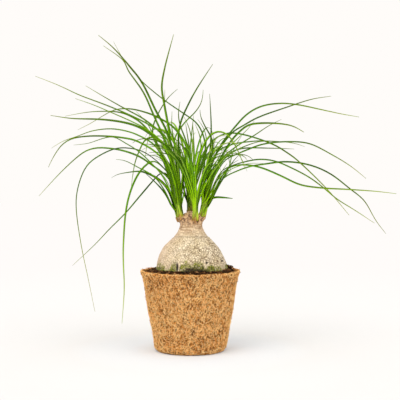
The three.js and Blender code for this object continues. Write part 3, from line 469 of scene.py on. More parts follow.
# Leaves placed by rule: crown, number, ranges of heading, reach, rise and droop
GROWN_LEAVES = [
    ("left", 6, (205, 226), (28, 56), (70, 106), (0, 0.04)),
    ("left", 4, (175, 222), (9, 24), (62, 108), (0, 0)),
    ("far_left", 5, (138, 158), (34, 64), (74, 110), (0, 0.05)),
    ("far_left", 2, (138, 160), (9, 22), (60, 92), (0, 0)),
    ("back", 9, (58, 124), (110, 185), (72, 122), (0, 0.45)),
    ("back", 2, (70, 108), (100, 175), (78, 98), (0.1, 0.4)),
    ("back", 4, (60, 125), (10, 28), (62, 108), (0, 0)),
    ("front", 4, (228, 246), (90, 150), (70, 100), (0, 0.12)),
    ("front", 2, (258, 282), (110, 165), (62, 88), (0, 0.2)),
    ("front", 4, (292, 312), (90, 150), (70, 100), (0, 0.12)),
    ("front", 4, (232, 306), (12, 30), (62, 100), (0, 0)),
    ("right", 4, (-48, -34), (28, 56), (70, 106), (0, 0.04)),
    ("right", 4, (36, 60), (36, 84), (72, 110), (0, 0.06)),
    ("right", 3, (-40, 40), (10, 24), (62, 98), (0, 0)),
]
GROWN_WIDTH = (1.7, 2.4)
# Their route: shares of the reach, of the rise, and of the droop that comes off the rise
GROWN_ROUTE = [
    (0.07, 0.36, 0), (0.24, 0.7, 0), (0.5, 0.94, 0), (0.76, 1, 0), (0.92, 1, 0.3), (1, 1, 1),
]
# Their tone, with painted shade and painted light that set neighbouring blades apart: its middle,
# its swing, and the step of that swing from leaf to leaf in radians
GROWN_TONE = 0.25
GROWN_TONE_SWING = 0.8
GROWN_TONE_STEP = 2.4

# Leaf blades, as sections with eight corners: a gutter with a keel, and the faces of an end
BLADE_SIDES = 8
BLADE_ACROSS = np.array([-1, -0.5, 0, 0.5, 1, 0.5, 0, -0.5])
BLADE_CHANNEL = np.array([0, 0.5, 1, 0.5, 0, 0.5, 1, 0.5])
BLADE_UNDER = np.array([0, 0, 0, 0, 0, 1, 1.25, 1])
BLADE_CAP = [(0, 1, 7), (1, 2, 6, 7), (2, 3, 5, 6), (3, 4, 5)]
# Width: a factor for all, and extra mm that come in between two lengths of leaf
BLADE_FULLNESS = 0.84
LONG_LEAF = (100, 180)
LONG_LEAF_GAIN = 0.68
# Gutter: depth as a share of half the width, and thickness, with what each loses to the tip
GUTTER_DEPTH = 0.42
GUTTER_LOSS = 0.12
BLADE_THICKNESS = 0.3
BLADE_THICKNESS_LOSS = 0.5
BLADE_THINNEST = 0.16
# In the bundle at the foot: least width, how it fades out, and extra depth and thickness
BUNDLE_WIDTH = 3.0
BUNDLE_FADE = 16
BUNDLE_GUTTER = 0.5
BUNDLE_THICKNESS = 0.1
# Leaves lie in ranks in the bundle: offset of the inmost from the axis, of the ranks from each
# other and of the upper end, lowest foot and how far feet differ, how far the leaf's own route
# gives way to the bundle's, and how far the two ways across may point apart
BUNDLE_OFFSET = 2.3
BUNDLE_RANK_OFFSET = 1.0
BUNDLE_RANK_STEP = 0.382
BUNDLE_SPREAD = 0.2
BUNDLE_FOOT = -1.5
BUNDLE_FOOT_RANGE = 3
BUNDLE_PULL = 0.75
BUNDLE_APART = -0.2
# How far a leaf turns to show its width to the front, the share of its length where that turn is
# done, how far its two ways across may point apart, and its own twist further on in radians
LEAF_TURN = 58
LEAF_TURN_END = 0.4
LEAF_TURN_APART = -0.5
LEAF_TWIST = 0.8
LEAF_TWIST_START = 0.3
# Shares of a leaf's length between which its tone changes from the foot's to the tip's
LEAF_TONE_CHANGE = (0.35, 0.75)

# Dry scales round each crown: number, rise, width, heights and reaches of the foot, share of the
# rise and reach at the middle, reach of the tip and its spread, and form
SCALE_SEED = 11
SCALE_COUNT = 4
SCALE_RISE = (1.8, 4.2)
SCALE_WIDTH = (2.0, 3.4)
SCALE_FOOT = [(-3.5, 3.6), (-1, 4.2)]
SCALE_MIDDLE = (0.5, 4.4)
SCALE_TIP = 4.5
SCALE_TIP_SPREAD = 0.8
SCALE_RING_GAP = 1.2
SCALE_TAPER = 0.75
SCALE_GUTTER = 0.35
SCALE_THICKNESS = 0.28

# Colours as they look on a screen, with their places on a ramp
LEAF_COLOURS = [
    (0.0, 238, 190, 88), (0.026, 232, 222, 96), (0.055, 206, 234, 84), (0.1, 190, 242, 24),
    (0.24, 164, 236, 0), (0.42, 116, 184, 0), (0.7, 92, 122, 0), (0.88, 116, 138, 0),
    (1.0, 158, 164, 44),
]
COIR_FIBRE_COLOURS = [
    (0.0, 74, 42, 18), (0.2, 140, 86, 38), (0.42, 215, 139, 69), (0.68, 245, 180, 98),
    (1.0, 255, 218, 152),
]
COIR_WALL_COLOURS = [
    (0.3, 66, 38, 18), (0.5, 136, 86, 42), (0.66, 190, 128, 68), (0.78, 222, 164, 96),
]
CRUMB_COLOURS = [(0.0, 14, 9, 5), (0.36, 46, 29, 14), (0.62, 120, 80, 44), (1.0, 196, 146, 98)]
MOSS_COLOURS = [(0.0, 18, 24, 0), (0.5, 84, 96, 8), (1.0, 208, 204, 96)]


# Random numbers for the leaves, the same ones that place them in the solids
RANDOM_SEED = 20417
RANDOM_FACTOR = 1664525
RANDOM_STEP = 1013904223
RANDOM_RANGE = 4294967296


class LeafRandom:
    def __init__(self, seed):
        self.state = seed

    def share(self):
        self.state = (self.state * RANDOM_FACTOR + RANDOM_STEP) % RANDOM_RANGE
        return self.state / RANDOM_RANGE

    def between(self, limits):
        return limits[0] + (limits[1] - limits[0]) * self.share()


# Smooth noise at points in mm
NOISE_FACTORS = (374761393, 668265263, 1440662683)
NOISE_SEED_FACTOR = 974634711
NOISE_MIX = 1274126177
NOISE_MASK = 0xFFFFFFFF


def soft_noise(points, size, seed):
    """Values from -1 to 1 that change smoothly over grains of a size in mm."""
    cell = np.asarray(points, dtype=float) / size
    corner = np.floor(cell).astype(np.int64)
    inside = cell - corner
    inside = inside * inside * (3 - 2 * inside)
    total = np.zeros(cell.shape[:-1])
    for step in np.ndindex(2, 2, 2):
        mixed = ((corner + step) * NOISE_FACTORS).sum(-1) + seed * NOISE_SEED_FACTOR
        mixed = mixed & NOISE_MASK
        mixed = ((mixed ^ (mixed >> 13)) * NOISE_MIX) & NOISE_MASK
        value = (mixed ^ (mixed >> 16)) / NOISE_MASK
        weight = np.where(np.array(step) == 1, inside, 1 - inside).prod(-1)
        total += value * weight
    return total * 2 - 1


def noise_sum(points, *rules):
    """Smooth noises by their rules, added up."""
    return sum(height * soft_noise(points, size, seed) for height, size, seed in rules)


def wave_sum(waves, angle, distance):
    """Waves round an axis, at an angle and a distance along the shape."""
    return sum(share * np.sin(angle * number + distance * twist + start)
               for share, number, twist, start in waves)


# Small sums with points and angles
def fade(values, level, width):
    """1 far below the level and 0 far above it."""
    return 1 / (1 + np.exp(np.clip((values - level) / width, -30, 30)))


def unit(vectors):
    """The vectors at length 1."""
    return vectors / np.maximum(np.linalg.norm(vectors, axis=-1, keepdims=True), 1e-6)


def turns(sides):
    """Angles round a full turn, in radians."""
    return np.arange(sides) / sides * FULL_TURN


def around(angle, radius, height):
    """Points round the pot's axis."""
    return np.stack(np.broadcast_arrays(radius * np.cos(angle), radius * np.sin(angle), height), -1)


def apart(angle, centre):
    """How many degrees an angle in radians is past a centre in degrees."""
    return np.degrees(np.angle(np.exp(1j * (angle - math.radians(centre)))))


def rotated(corners, axis, angle):
    cosine, sine = math.cos(angle), math.sin(angle)
    return (corners * cosine + np.cross(axis, corners) * sine
            + np.outer(corners @ axis, axis) * (1 - cosine))


def path_lengths(path):
    """How far along a path each of its points lies."""
    return np.concatenate([[0], np.cumsum(np.linalg.norm(np.diff(path, axis=0), axis=1))])


def resampled(path, lengths, wanted):
    """The path's numbers at the wanted lengths."""
    return np.stack([np.interp(wanted, lengths, column) for column in path.T], 1)


def softened(path, rounds=1):
    """The path with its corners eased and its ends kept."""
    for _ in range(rounds):
        path[1:-1] = path[1:-1] * 0.5 + (path[:-2] + path[2:]) * 0.25
    return path


# Meshes
def set_values(mesh, key, numbers):
    layer = mesh.attributes.new(key, "FLOAT", "POINT")
    layer.data.foreach_set("value", np.asarray(numbers, dtype=np.float32).ravel())


def make_object(name, points, face_groups, material, values=None):
    """An object from points in mm and arrays of faces; values are numbers for each point."""
    mesh = bpy.data.meshes.new(name)
    mesh.vertices.add(len(points))
    mesh.vertices.foreach_set("co", (np.asarray(points) * MM).astype(np.float32).ravel())
    corners = np.concatenate([np.asarray(faces).ravel() for faces in face_groups])
    sizes = np.concatenate([np.full(len(faces), len(faces[0])) for faces in face_groups])
    starts = np.concatenate([[0], np.cumsum(sizes)[:-1]])
    mesh.loops.add(len(corners))
    mesh.loops.foreach_set("vertex_index", corners.astype(np.int32))
    mesh.polygons.add(len(sizes))
    mesh.polygons.foreach_set("loop_start", starts.astype(np.int32))
    mesh.polygons.foreach_set("loop_total", sizes.astype(np.int32))
    mesh.polygons.foreach_set("use_smooth", np.ones(len(sizes), dtype=bool))
    mesh.update(calc_edges=True)
    mesh.validate()
    for key, numbers in (values or {}).items():
        set_values(mesh, key, numbers)
    mesh.materials.append(material)
    made = bpy.data.objects.new(name, mesh)
    bpy.context.scene.collection.objects.link(made)
    return made


def repeated(faces, copies, points):
    """The faces of a form with so many points, for so many copies of it."""
    shifts = np.arange(copies) * points
    return (np.asarray(faces)[None] + shifts[:, None, None]).reshape(-1, len(faces[0]))


def tube_faces(tubes, rings, sides):
    """Quads for tubes whose points are numbered tube by tube, ring by ring."""
    ring = np.arange(rings - 1)[:, None] * sides
    side = np.arange(sides)[None, :]
    after = (side + 1) % sides
    quads = np.stack([ring + side, ring + after, ring + sides + after, ring + sides + side], -1)
    return repeated(quads.reshape(-1, 4), tubes, rings * sides)


def end_triangles(tubes, rings):
    """Both ends of tubes with three sides."""
    last = (rings - 1) * 3
    return repeated([(0, 2, 1), (last, last + 1, last + 2)], tubes, rings * 3)


def closed_skin(rings, low, high):
    """Points and faces of a skin over rings, closed by the points low and high at its ends."""
    sides = len(rings[0])
    side = np.arange(sides)
    after = (side + 1) % sides
    last = (len(rings) - 1) * sides
    fans = np.concatenate([
        np.stack([np.full(sides, last + sides), after, side], 1),
        np.stack([np.full(sides, last + sides + 1), last + side, last + after], 1),
    ])
    return np.concatenate([*rings, [low], [high]]), tube_faces(1, len(rings), sides), fans


def joined(parts):
    """Points and both groups of faces of several parts, as one."""
    starts = np.cumsum([0] + [len(points) for points, _, _ in parts])
    groups = [np.concatenate([part[group] + start for part, start in zip(parts, starts)])
              for group in (1, 2)]
    return np.concatenate([points for points, _, _ in parts]), groups


# Colours and material nodes
def srgb(red, green, blue):
    """A colour given as it looks on a screen, from 0 to 255."""
    def linear(value):
        value /= 255
        return value / 12.92 if value <= 0.04045 else ((value + 0.055) / 1.055) ** 2.4
    return (linear(red), linear(green), linear(blue), 1)


class Shader:
    """A material and short ways to add nodes to it. Three numbers are a colour on a screen."""

    def __init__(self, name, roughness, shine=None):
        self.material = bpy.data.materials.new(name)
        self.material.use_nodes = True
        self.tree = self.material.node_tree
        self.surface = self.tree.nodes["Principled BSDF"]
        self.surface.inputs["Roughness"].default_value = roughness
        if shine is not None:
            self.surface.inputs["Specular IOR Level"].default_value = shine

    def node(self, kind, **settings):
        made = self.tree.nodes.new("ShaderNode" + kind)
        for key, value in settings.items():
            setattr(made, key, value)
        return made

    def link(self, source, target):
        self.tree.links.new(source, target)

    def fill(self, target, value):
        if isinstance(value, bpy.types.NodeSocket):
            self.link(value, target)
        elif isinstance(value, tuple) and len(value) == 3:
            target.default_value = srgb(*value)
        else:
            target.default_value = value

    def place(self):
        return self.node("TexCoord").outputs["Object"]

    def value(self, key):
        return self.node("Attribute", attribute_name=key).outputs["Fac"]

    def math(self, operation, first, second=0.0, clamp=False):
        made = self.node("Math", operation=operation, use_clamp=clamp)
        self.fill(made.inputs[0], first)
        self.fill(made.inputs[1], second)
        return made.outputs[0]

    def times(self, first, second, clamp=False):
        return self.math("MULTIPLY", first, second, clamp)

    def plus(self, first, second):
        return self.math("ADD", first, second)

    def scaled(self, vector, scale):
        made = self.node("Mapping")
        self.link(vector, made.inputs["Vector"])
        made.inputs["Scale"].default_value = scale
        return made.outputs["Vector"]

    def distance(self, vector, centre):
        made = self.node("VectorMath", operation="DISTANCE")
        self.link(vector, made.inputs[0])
        made.inputs[1].default_value = centre
        return made.outputs["Value"]

    def noise(self, vector, scale, detail=3.0, rough=0.55, bend=0.0):
        made = self.node("TexNoise")
        self.link(vector, made.inputs["Vector"])
        made.inputs["Scale"].default_value = scale
        made.inputs["Detail"].default_value = detail
        made.inputs["Roughness"].default_value = rough
        made.inputs["Distortion"].default_value = bend
        return made.outputs["Fac"]

    def bent(self, vector, scale, amount):
        """The vector moved about by a noise, so that what is made from it isn't straight."""
        warp = self.node("TexNoise")
        self.link(vector, warp.inputs["Vector"])
        warp.inputs["Scale"].default_value = scale
        made = self.node("VectorMath", operation="MULTIPLY_ADD")
        self.link(warp.outputs["Color"], made.inputs[0])
        made.inputs[1].default_value = (amount, amount, amount)
        self.link(vector, made.inputs[2])
        return made.outputs["Vector"]

    def ramp(self, factor, stops):
        made = self.node("ValToRGB")
        self.link(factor, made.inputs["Fac"])
        elements = made.color_ramp.elements
        while len(elements) < len(stops):
            elements.new(0.5)
        for element, (position, *colour) in zip(elements, stops):
            element.position = position
            element.color = srgb(*colour)
        return made.outputs["Color"]

    def span(self, factor, low, high, to_low=0.0, to_high=1.0):
        made = self.node("MapRange")
        self.fill(made.inputs["Value"], factor)
        made.inputs["From Min"].default_value = low
        made.inputs["From Max"].default_value = high
        made.inputs["To Min"].default_value = to_low
        made.inputs["To Max"].default_value = to_high
        return made.outputs["Result"]

    def grain(self, noise, low, high):
        """A noise, whose values lie about its middle, spread from low to high."""
        return self.span(noise, 0.3, 0.7, low, high)

    def mix(self, factor, first, second):
        made = self.node("Mix", data_type="RGBA")
        self.fill(made.inputs["Factor"], factor)
        self.fill(made.inputs[6], first)
        self.fill(made.inputs[7], second)
        return made.outputs[2]

    def colour(self, value):
        self.link(value, self.surface.inputs["Base Color"])

    def rough(self, noise, low, high):
        self.link(self.grain(noise, low, high), self.surface.inputs["Roughness"])

    def bump(self, height, strength, distance):
        made = self.node("Bump")
        self.link(height, made.inputs["Height"])
        made.inputs["Strength"].default_value = strength
        made.inputs["Distance"].default_value = distance
        self.link(made.outputs["Normal"], self.surface.inputs["Normal"])


def leaf_material():
    shader = Shader("leaf_green", 0.5, 0.08)
    along, across, length, tone = (
        shader.value(key) for key in ("along", "across", "length", "tone"))
    reach = shader.plus(shader.times(length, 0.002), shader.times(along, 0.5))
    outer = shader.span(along, 0.5, 0.9, 1.0, 0.4)
    green = shader.ramp(reach, LEAF_COLOURS)
    # The tone darkens leaves with painted shade and brightens them with painted light
    shade = shader.times(shader.times(tone, -1.15, clamp=True), outer)
    shade = shader.times(shade, shader.span(reach, 0.03, 0.12, 0.6, 1.0))
    dark = shader.mix(shader.span(reach, 0.3, 0.6), (28, 46, 0), (26, 64, 0))
    green = shader.mix(shade, green, dark)
    light = shader.times(shader.times(tone, 0.9, clamp=True), outer)
    green = shader.mix(light, green, (178, 236, 6))
    pale = shader.times(shader.span(tone, 0.35, 1.0), shader.span(along, 0.45, 1.0))
    green = shader.mix(pale, green, (184, 200, 116))
    shaded_half = shader.times(shader.span(across, 0.0, 0.4, 0.0, 0.76), outer)
    green = shader.mix(shaded_half, green, (20, 62, 0))
    lines = shader.node("CombineXYZ")
    for axis, value, scale in (("X", length, 0.035), ("Y", across, 4.5), ("Z", tone, 9.0)):
        shader.link(shader.times(value, scale), lines.inputs[axis])
    stripes = shader.noise(lines.outputs["Vector"], 2.2, 4.0, 0.6)
    green = shader.mix(shader.span(stripes, 0.4, 0.7, 0.0, 0.3), green, (40, 96, 4))
    blotches = shader.noise(shader.place(), 90)
    green = shader.mix(shader.span(blotches, 0.5, 0.75, 0.0, 0.25), green, (132, 192, 8))
    edge = shader.math("ABSOLUTE", across)
    green = shader.mix(shader.span(edge, 0.7, 1.0, 0.0, 0.15), green, (150, 204, 30))
    shader.colour(green)
    shader.rough(stripes, 0.45, 0.62)
    shader.bump(stripes, 0.35, 0.0004)
    return shader.material


def dry_material():
    shader = Shader("dry_scale", 0.8)
    place = shader.place()
    grain = shader.noise(shader.scaled(place, (1, 1, 0.2)), 700, 4.0)
    patches = shader.noise(place, 160)
    colour = shader.mix(shader.span(patches, 0.35, 0.65), (228, 178, 98), (170, 122, 70))
    shader.colour(shader.mix(shader.span(grain, 0.5, 0.7, 0.0, 0.6), colour, (110, 74, 44)))
    shader.rough(grain, 0.7, 0.92)
    shader.bump(grain, 0.5, 0.0004)
    return shader.material


def coir_fibre_material():
    shader = Shader("coir_fibre", 0.9, 0.2)
    fine = shader.noise(shader.place(), 900, 2.0)
    toned = shader.plus(shader.value("tint"), shader.grain(fine, -0.1, 0.1))
    shader.colour(shader.ramp(toned, COIR_FIBRE_COLOURS))
    shader.rough(fine, 0.82, 0.98)
    shader.bump(fine, 0.3, 0.0003)
    return shader.material


def coir_wall_material():
    shader = Shader("coir_wall", 0.95)
    place = shader.place()
    strands = shader.noise(shader.scaled(place, (1, 1, 0.45)), 480, 5.0, 0.65, 1.2)
    patches = shader.span(shader.noise(place, 60), 0.55, 0.8, 0.0, 0.4)
    shader.colour(shader.mix(patches, shader.ramp(strands, COIR_WALL_COLOURS), (96, 60, 30)))
    shader.rough(strands, 0.85, 1.0)
    shader.bump(strands, 0.9, 0.0012)
    return shader.material


def soil_material():
    shader = Shader("soil_dark", 1.0, 0.1)
    place = shader.place()
    grains = shader.noise(place, 420, 6.0, 0.7)
    clumps = shader.noise(place, 110)
    colour = shader.mix(shader.span(clumps, 0.4, 0.7), (38, 25, 14), (74, 46, 22))
    shader.colour(shader.mix(shader.span(grains, 0.56, 0.72, 0.0, 0.7), colour, (112, 72, 46)))
    shader.rough(grains, 0.85, 1.0)
    shader.bump(grains, 0.9, 0.0015)
    return shader.material


def crumb_material():
    shader = Shader("soil_crumb", 0.95, 0.1)
    grains = shader.noise(shader.place(), 800, 4.0, 0.65)
    toned = shader.plus(shader.value("tint"), shader.grain(grains, -0.15, 0.15))
    shader.colour(shader.ramp(toned, CRUMB_COLOURS))
    shader.rough(grains, 0.85, 1.0)
    shader.bump(grains, 0.6, 0.0006)
    return shader.material


def moss_material():
    shader = Shader("moss", 0.95)
    grains = shader.noise(shader.place(), 700)
    toned = shader.plus(shader.value("tint"), shader.grain(grains, -0.15, 0.15))
    shader.colour(shader.ramp(toned, MOSS_COLOURS))
    shader.rough(grains, 0.85, 1.0)
    shader.bump(grains, 0.5, 0.0004)
    return shader.material


def stem_material():
    shader = Shader("stem_bark", 0.75)
    place = shader.place()
    neck = shader.value("neck")
    speckle = shader.noise(place, 900, 4.0, 0.65)

    # Pale bark of the bulb with its net of cracks
    clouds = shader.noise(place, 75, 4.0, 0.6)
    bark = shader.mix(shader.span(clouds, 0.35, 0.65), (250, 236, 208), (222, 205, 168))
    bark = shader.mix(shader.span(speckle, 0.5, 0.64, 0.0, 0.75), bark, (150, 120, 82))
    # The bark's pinkish tint on the bulb's left side, darker there as painted shade
    bark = shader.mix(shader.times(shader.value("left"), 0.55), bark, (218, 182, 152))
    cells = shader.node("TexVoronoi", feature="DISTANCE_TO_EDGE")
    shader.link(shader.bent(place, 220, 0.0022), cells.inputs["Vector"])
    cells.inputs["Scale"].default_value = 330
    net = shader.span(cells.outputs["Distance"], 0.02, 0.2, 1.0, 0.0)
    worn = shader.noise(place, 190, 3.0, 0.6)
    net = shader.times(net, shader.span(worn, 0.36, 0.56, 0.35, 1.0))
    lines = shader.times(net, shader.value("crack"), clamp=True)
    bark = shader.mix(lines, bark, (104, 80, 46))

    # Tan neck with rings and knots, and the rough head
    rings = shader.noise(shader.scaled(place, (0.35, 0.35, 2.2)), 260, 4.0, 0.6, 0.4)
    knots = shader.noise(place, 330, 4.0, 0.65, 0.6)
    tan = shader.mix(shader.span(rings, 0.4, 0.58), (246, 222, 184), (166, 128, 90))
    tan = shader.mix(shader.span(speckle, 0.5, 0.66, 0.0, 0.65), tan, (132, 92, 58))
    tan = shader.mix(shader.span(knots, 0.5, 0.58, 0.0, 0.6), tan, (126, 88, 56))
    bark = shader.mix(neck, bark, tan)
    rough = shader.mix(shader.span(knots, 0.43, 0.57), (214, 172, 126), (96, 62, 38))
    bark = shader.mix(shader.times(shader.value("head"), 0.85), bark, rough)

    # Moss, earth and scars
    mossy = shader.mix(shader.span(speckle, 0.43, 0.56), (178, 180, 66), (22, 32, 0))
    bark = shader.mix(shader.value("green"), bark, mossy)
    earth = shader.mix(shader.span(speckle, 0.4, 0.65), (70, 48, 26), (26, 18, 8))
    bark = shader.mix(shader.value("dirt"), bark, earth)
    shader.colour(shader.mix(shader.value("scar"), bark, (12, 8, 6)))
    shader.rough(speckle, 0.68, 0.92)
    height = shader.math("SUBTRACT", shader.times(speckle, 0.4), lines)
    shader.bump(shader.plus(height, shader.times(rings, neck)), 0.6, 0.0006)
    return shader.material


# Curves for the leaves
def curve_point(points, index, share):
    before = points[max(index - 1, 0)]
    start = points[index]
    end = points[index + 1]
    after = points[min(index + 2, len(points) - 1)]
    square = share * share
    cube = square * share
    return (before * (0.5 * (-cube + 2 * square - share))
            + start * (0.5 * (3 * cube - 5 * square + 2))
            + end * (0.5 * (-3 * cube + 4 * square + share))
            + after * (0.5 * (cube - square)))


def smooth_path(points):
    points = [np.array(point, dtype=float) for point in points]
    path = [curve_point(points, index, sample / CURVE_SAMPLES)
            for index in range(len(points) - 1) for sample in range(CURVE_SAMPLES)]
    path.append(points[-1])
    return np.array(path)


def even_path(points, gap):
    """Evenly spaced points on the smooth curve, their directions and how far along they lie."""
    path = smooth_path(points)
    lengths = path_lengths(path)
    count = max(LEAF_LEAST_RINGS, round(lengths[-1] / gap))
    distance = np.linspace(0, lengths[-1], count + 1)
    even = softened(resampled(path, lengths, distance))
    return even, unit(np.gradient(even, axis=0)), distance


def crown_point(crown, height):
    foot, lean, _ = CROWNS[crown]
    return np.array([foot[0] + lean[0] * height, foot[1] + lean[1] * height, foot[2] + height])


def from_eye(x, z, depth):
    """The point at a depth that the eye sees at x and z on the pot's own depth."""
    scale = 1 + depth / EYE_DISTANCE
    return np.array([EYE_X + (x - EYE_X) * scale, depth,
                     EYE_HEIGHT + (z - EYE_HEIGHT) * scale])


def leaf_root(crown, heading):
    offset = around(heading, LEAF_ROOT_OFFSET * CROWNS[crown][2], 0)
    return [crown_point(crown, height) + offset
            for height in (LEAF_ROOT_HEIGHT, LEAF_BUNDLE_HEIGHT)]


def seen_leaf(crown, width, tip_depth, tone, route):
    foot = crown_point(crown, LEAF_BUNDLE_HEIGHT)
    tip = from_eye(*route[-1], tip_depth)
    heading = math.atan2(tip[1] - foot[1], tip[0] - foot[0])
    shares = path_lengths([(foot[0], foot[2]), *route])[1:]
    shares = shares / shares[-1]
    points = leaf_root(crown, heading)
    for (x, z), share in zip(route, shares):
        depth = foot[1] + (tip_depth - foot[1]) * share ** LEAF_DEPTH_BEND
        points.append(from_eye(x, z, depth))
    return {"crown": crown, "width": width, "tone": tone, "heading": heading, "points": points}


def grown_leaves(chance, crown, count, headings, reaches, rises, droops):
    leaves = []
    for index in range(count):
        share = (index + chance.share()) / count
        heading = math.radians(headings[0] + (headings[1] - headings[0]) * share)
        reach = chance.between(reaches)
        rise = chance.between(rises)
        droop = chance.between(droops)
        width = chance.between(GROWN_WIDTH)
        points = leaf_root(crown, heading)
        for out, up, down in GROWN_ROUTE:
            way = around(heading, reach * out, rise * (up - down * droop))
            points.append(crown_point(crown, 0) + way)
        tone = GROWN_TONE + GROWN_TONE_SWING * math.sin(index * GROWN_TONE_STEP + rise)
        leaves.append({"crown": crown, "width": width, "tone": tone, "heading": heading,
                       "points": points})
    return leaves


def all_leaves():
    chance = LeafRandom(RANDOM_SEED)
    leaves = [seen_leaf(*leaf) for leaf in SEEN_LEAVES]
    for rule in GROWN_LEAVES:
        leaves.extend(grown_leaves(chance, *rule))
    return leaves


# Leaf blades
def blade_route(leaf, rank, outward):
    """The leaf's own route, started from its place in the bundle."""
    offset = (BUNDLE_OFFSET + BUNDLE_RANK_OFFSET * rank) * CROWNS[leaf["crown"]][2]
    foot = crown_point(leaf["crown"], BUNDLE_FOOT + BUNDLE_FOOT_RANGE * (1 - rank))
    lower = crown_point(leaf["crown"], LEAF_BUNDLE_HEIGHT) + outward * (offset + BUNDLE_SPREAD)
    lower = lower * BUNDLE_PULL + leaf["points"][1] * (1 - BUNDLE_PULL)
    return even_path([foot + outward * offset, lower, *leaf["points"][2:]], LEAF_RING_GAP)


def blade_width(width, share, length, near):
    """Width along a leaf, at least as wide at the foot as its bundle needs."""
    longness = np.clip((length - LONG_LEAF[0]) / (LONG_LEAF[1] - LONG_LEAF[0]), 0, 1)
    width = width * BLADE_FULLNESS + longness * LONG_LEAF_GAIN
    width = (width * (1 + LEAF_FOOT_GAIN * (1 - share) ** LEAF_FOOT_POWER)
             * (1 - LEAF_TIP_LOSS * share ** LEAF_TIP_POWER))
    return width * (1 - near) + max(BUNDLE_WIDTH, width[0]) * near


def blade_ways(heading, outward, along, share, near, twist):
    """The ways across and under a leaf, turned to the front and then twisted."""
    level_foot = np.array([-outward[1], outward[0], 0])
    level = np.array([-math.sin(heading), math.cos(heading), 0])
    if level_foot @ level < BUNDLE_APART:
        level_foot = -level_foot
    level = level_foot * near[:, None] + level * (1 - near[:, None])
    across = unit(level - along * (level * along).sum(1, keepdims=True))
    facing = np.cross(along, (0, 1, 0))
    middle = len(along) // 2
    side = -1 if across[middle] @ facing[middle] < LEAF_TURN_APART else 1
    turn = (math.radians(LEAF_TURN) * np.clip(share / LEAF_TURN_END, 0, 1))[:, None]
    across = unit(across * np.cos(turn) + facing * np.sin(turn) * side)
    under = np.cross(across, along)
    cosine, sine = np.cos(twist)[:, None], np.sin(twist)[:, None]
    return across * cosine + under * sine, under * cosine - across * sine


def gutter(middles, across, under, half, depth):
    """Points of a blade from its middle line, its ways, half its width and its depths."""
    rings = (middles[:, None] + across[:, None] * (half[:, None] * BLADE_ACROSS)[..., None]
             + under[:, None] * depth[..., None])
    return rings.reshape(-1, 3)


def blade(leaf, rank, base_angle):
    """Points and values of one leaf: a narrow gutter that wraps its bundle at the foot."""
    outward = around(base_angle, 1, 0)
    middles, along, distance = blade_route(leaf, rank, outward)
    share = distance / distance[-1]
    near = np.exp(-(distance / BUNDLE_FADE) ** 2)
    half = blade_width(leaf["width"], share, distance[-1], near) / 2
    tones = np.broadcast_to(leaf["tone"], 2)
    twist = tones[0] * LEAF_TWIST * np.clip(share - LEAF_TWIST_START, 0, 1)
    across, under = blade_ways(leaf["heading"], outward, along, share, near, twist)
    channel = half * (GUTTER_DEPTH - GUTTER_LOSS * share) + BUNDLE_GUTTER * near
    thick = BLADE_THICKNESS * (1 - BLADE_THICKNESS_LOSS * share)
    thick = np.maximum(BLADE_THINNEST, thick) + BUNDLE_THICKNESS * near
    depth = channel[:, None] * (BLADE_CHANNEL - 0.5) + thick[:, None] * BLADE_UNDER
    return gutter(middles, across, under, half, depth), {
        "along": np.repeat(share, BLADE_SIDES),
        "length": np.repeat(distance, BLADE_SIDES),
        "across": np.tile(BLADE_ACROSS, len(middles)),
        "tone": np.repeat(np.interp(share, LEAF_TONE_CHANGE, tones), BLADE_SIDES),
    }


def blade_faces(points):
    """Quads and triangles of a blade, with both ends closed."""
    count = len(points) // BLADE_SIDES
    end = (count - 1) * BLADE_SIDES
    caps = [cap[::-1] for cap in BLADE_CAP]
    caps += [tuple(end + corner for corner in cap) for cap in BLADE_CAP]
    squares = [cap for cap in caps if len(cap) == 4]
    triangles = [cap for cap in caps if len(cap) == 3]
    quads = np.concatenate([tube_faces(1, count, BLADE_SIDES), squares])
    return quads[:, ::-1], np.array(triangles)[:, ::-1]


def crown_object(crown, leaves, material):
    """All leaves of one crown, in the order of their headings round its bundle."""
    # Headings of the right crown run through 0, so there the order starts on the other side
    first = math.pi if crown == "right" else 0
    own = [leaf for leaf in leaves if leaf["crown"] == crown]
    own.sort(key=lambda leaf: (leaf["heading"] + first) % FULL_TURN)
    middle = own[len(own) // 2]["heading"]
    parts, tables = [], []
    for index, leaf in enumerate(own):
        base_angle = middle + ((index + 0.5) / len(own) - 0.5) * FULL_TURN
        points, table = blade(leaf, (index * BUNDLE_RANK_STEP) % 1, base_angle)
        parts.append((points, *blade_faces(points)))
        tables.append(table)
    values = {key: np.concatenate([table[key] for table in tables]) for key in tables[0]}
    made = make_object("leaves_" + crown, *joined(parts), material, values)
    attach(made, "root")
    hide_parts("crown_" + crown)


def scale_blade(route, heading, width):
    middles, along, distance = even_path(route, SCALE_RING_GAP)
    share = distance / distance[-1]
    half = width / 2 * (1 - SCALE_TAPER * share ** 2)
    level = np.array([-math.sin(heading), math.cos(heading), 0])
    across = unit(level - along * (along @ level)[:, None])
    depth = half[:, None] * SCALE_GUTTER * BLADE_CHANNEL + SCALE_THICKNESS * BLADE_UNDER
    return gutter(middles, across, np.cross(across, along), half, depth)


def dry_scales(material):
    """Short dry leaf bases round the foot of each crown."""
    chance = np.random.default_rng(SCALE_SEED)
    parts = []
    for crown in CROWNS:
        for index in range(SCALE_COUNT):
            heading = (index + chance.random()) / SCALE_COUNT * FULL_TURN
            rise = chance.uniform(*SCALE_RISE)
            tip = SCALE_TIP + chance.uniform(0, SCALE_TIP_SPREAD)
            steps = [*SCALE_FOOT, (rise * SCALE_MIDDLE[0], SCALE_MIDDLE[1]), (rise, tip)]
            route = [crown_point(crown, height) + around(heading, reach, 0)
                     for height, reach in steps]
            points = scale_blade(route, heading, chance.uniform(*SCALE_WIDTH))
            parts.append((points, *blade_faces(points)))
    made = make_object("dry_scales", *joined(parts), material)
    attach(made, "root")


# Pot
def pot_radius(height):
    return POT_FOOT_RADIUS + POT_WALL_SLOPE * height


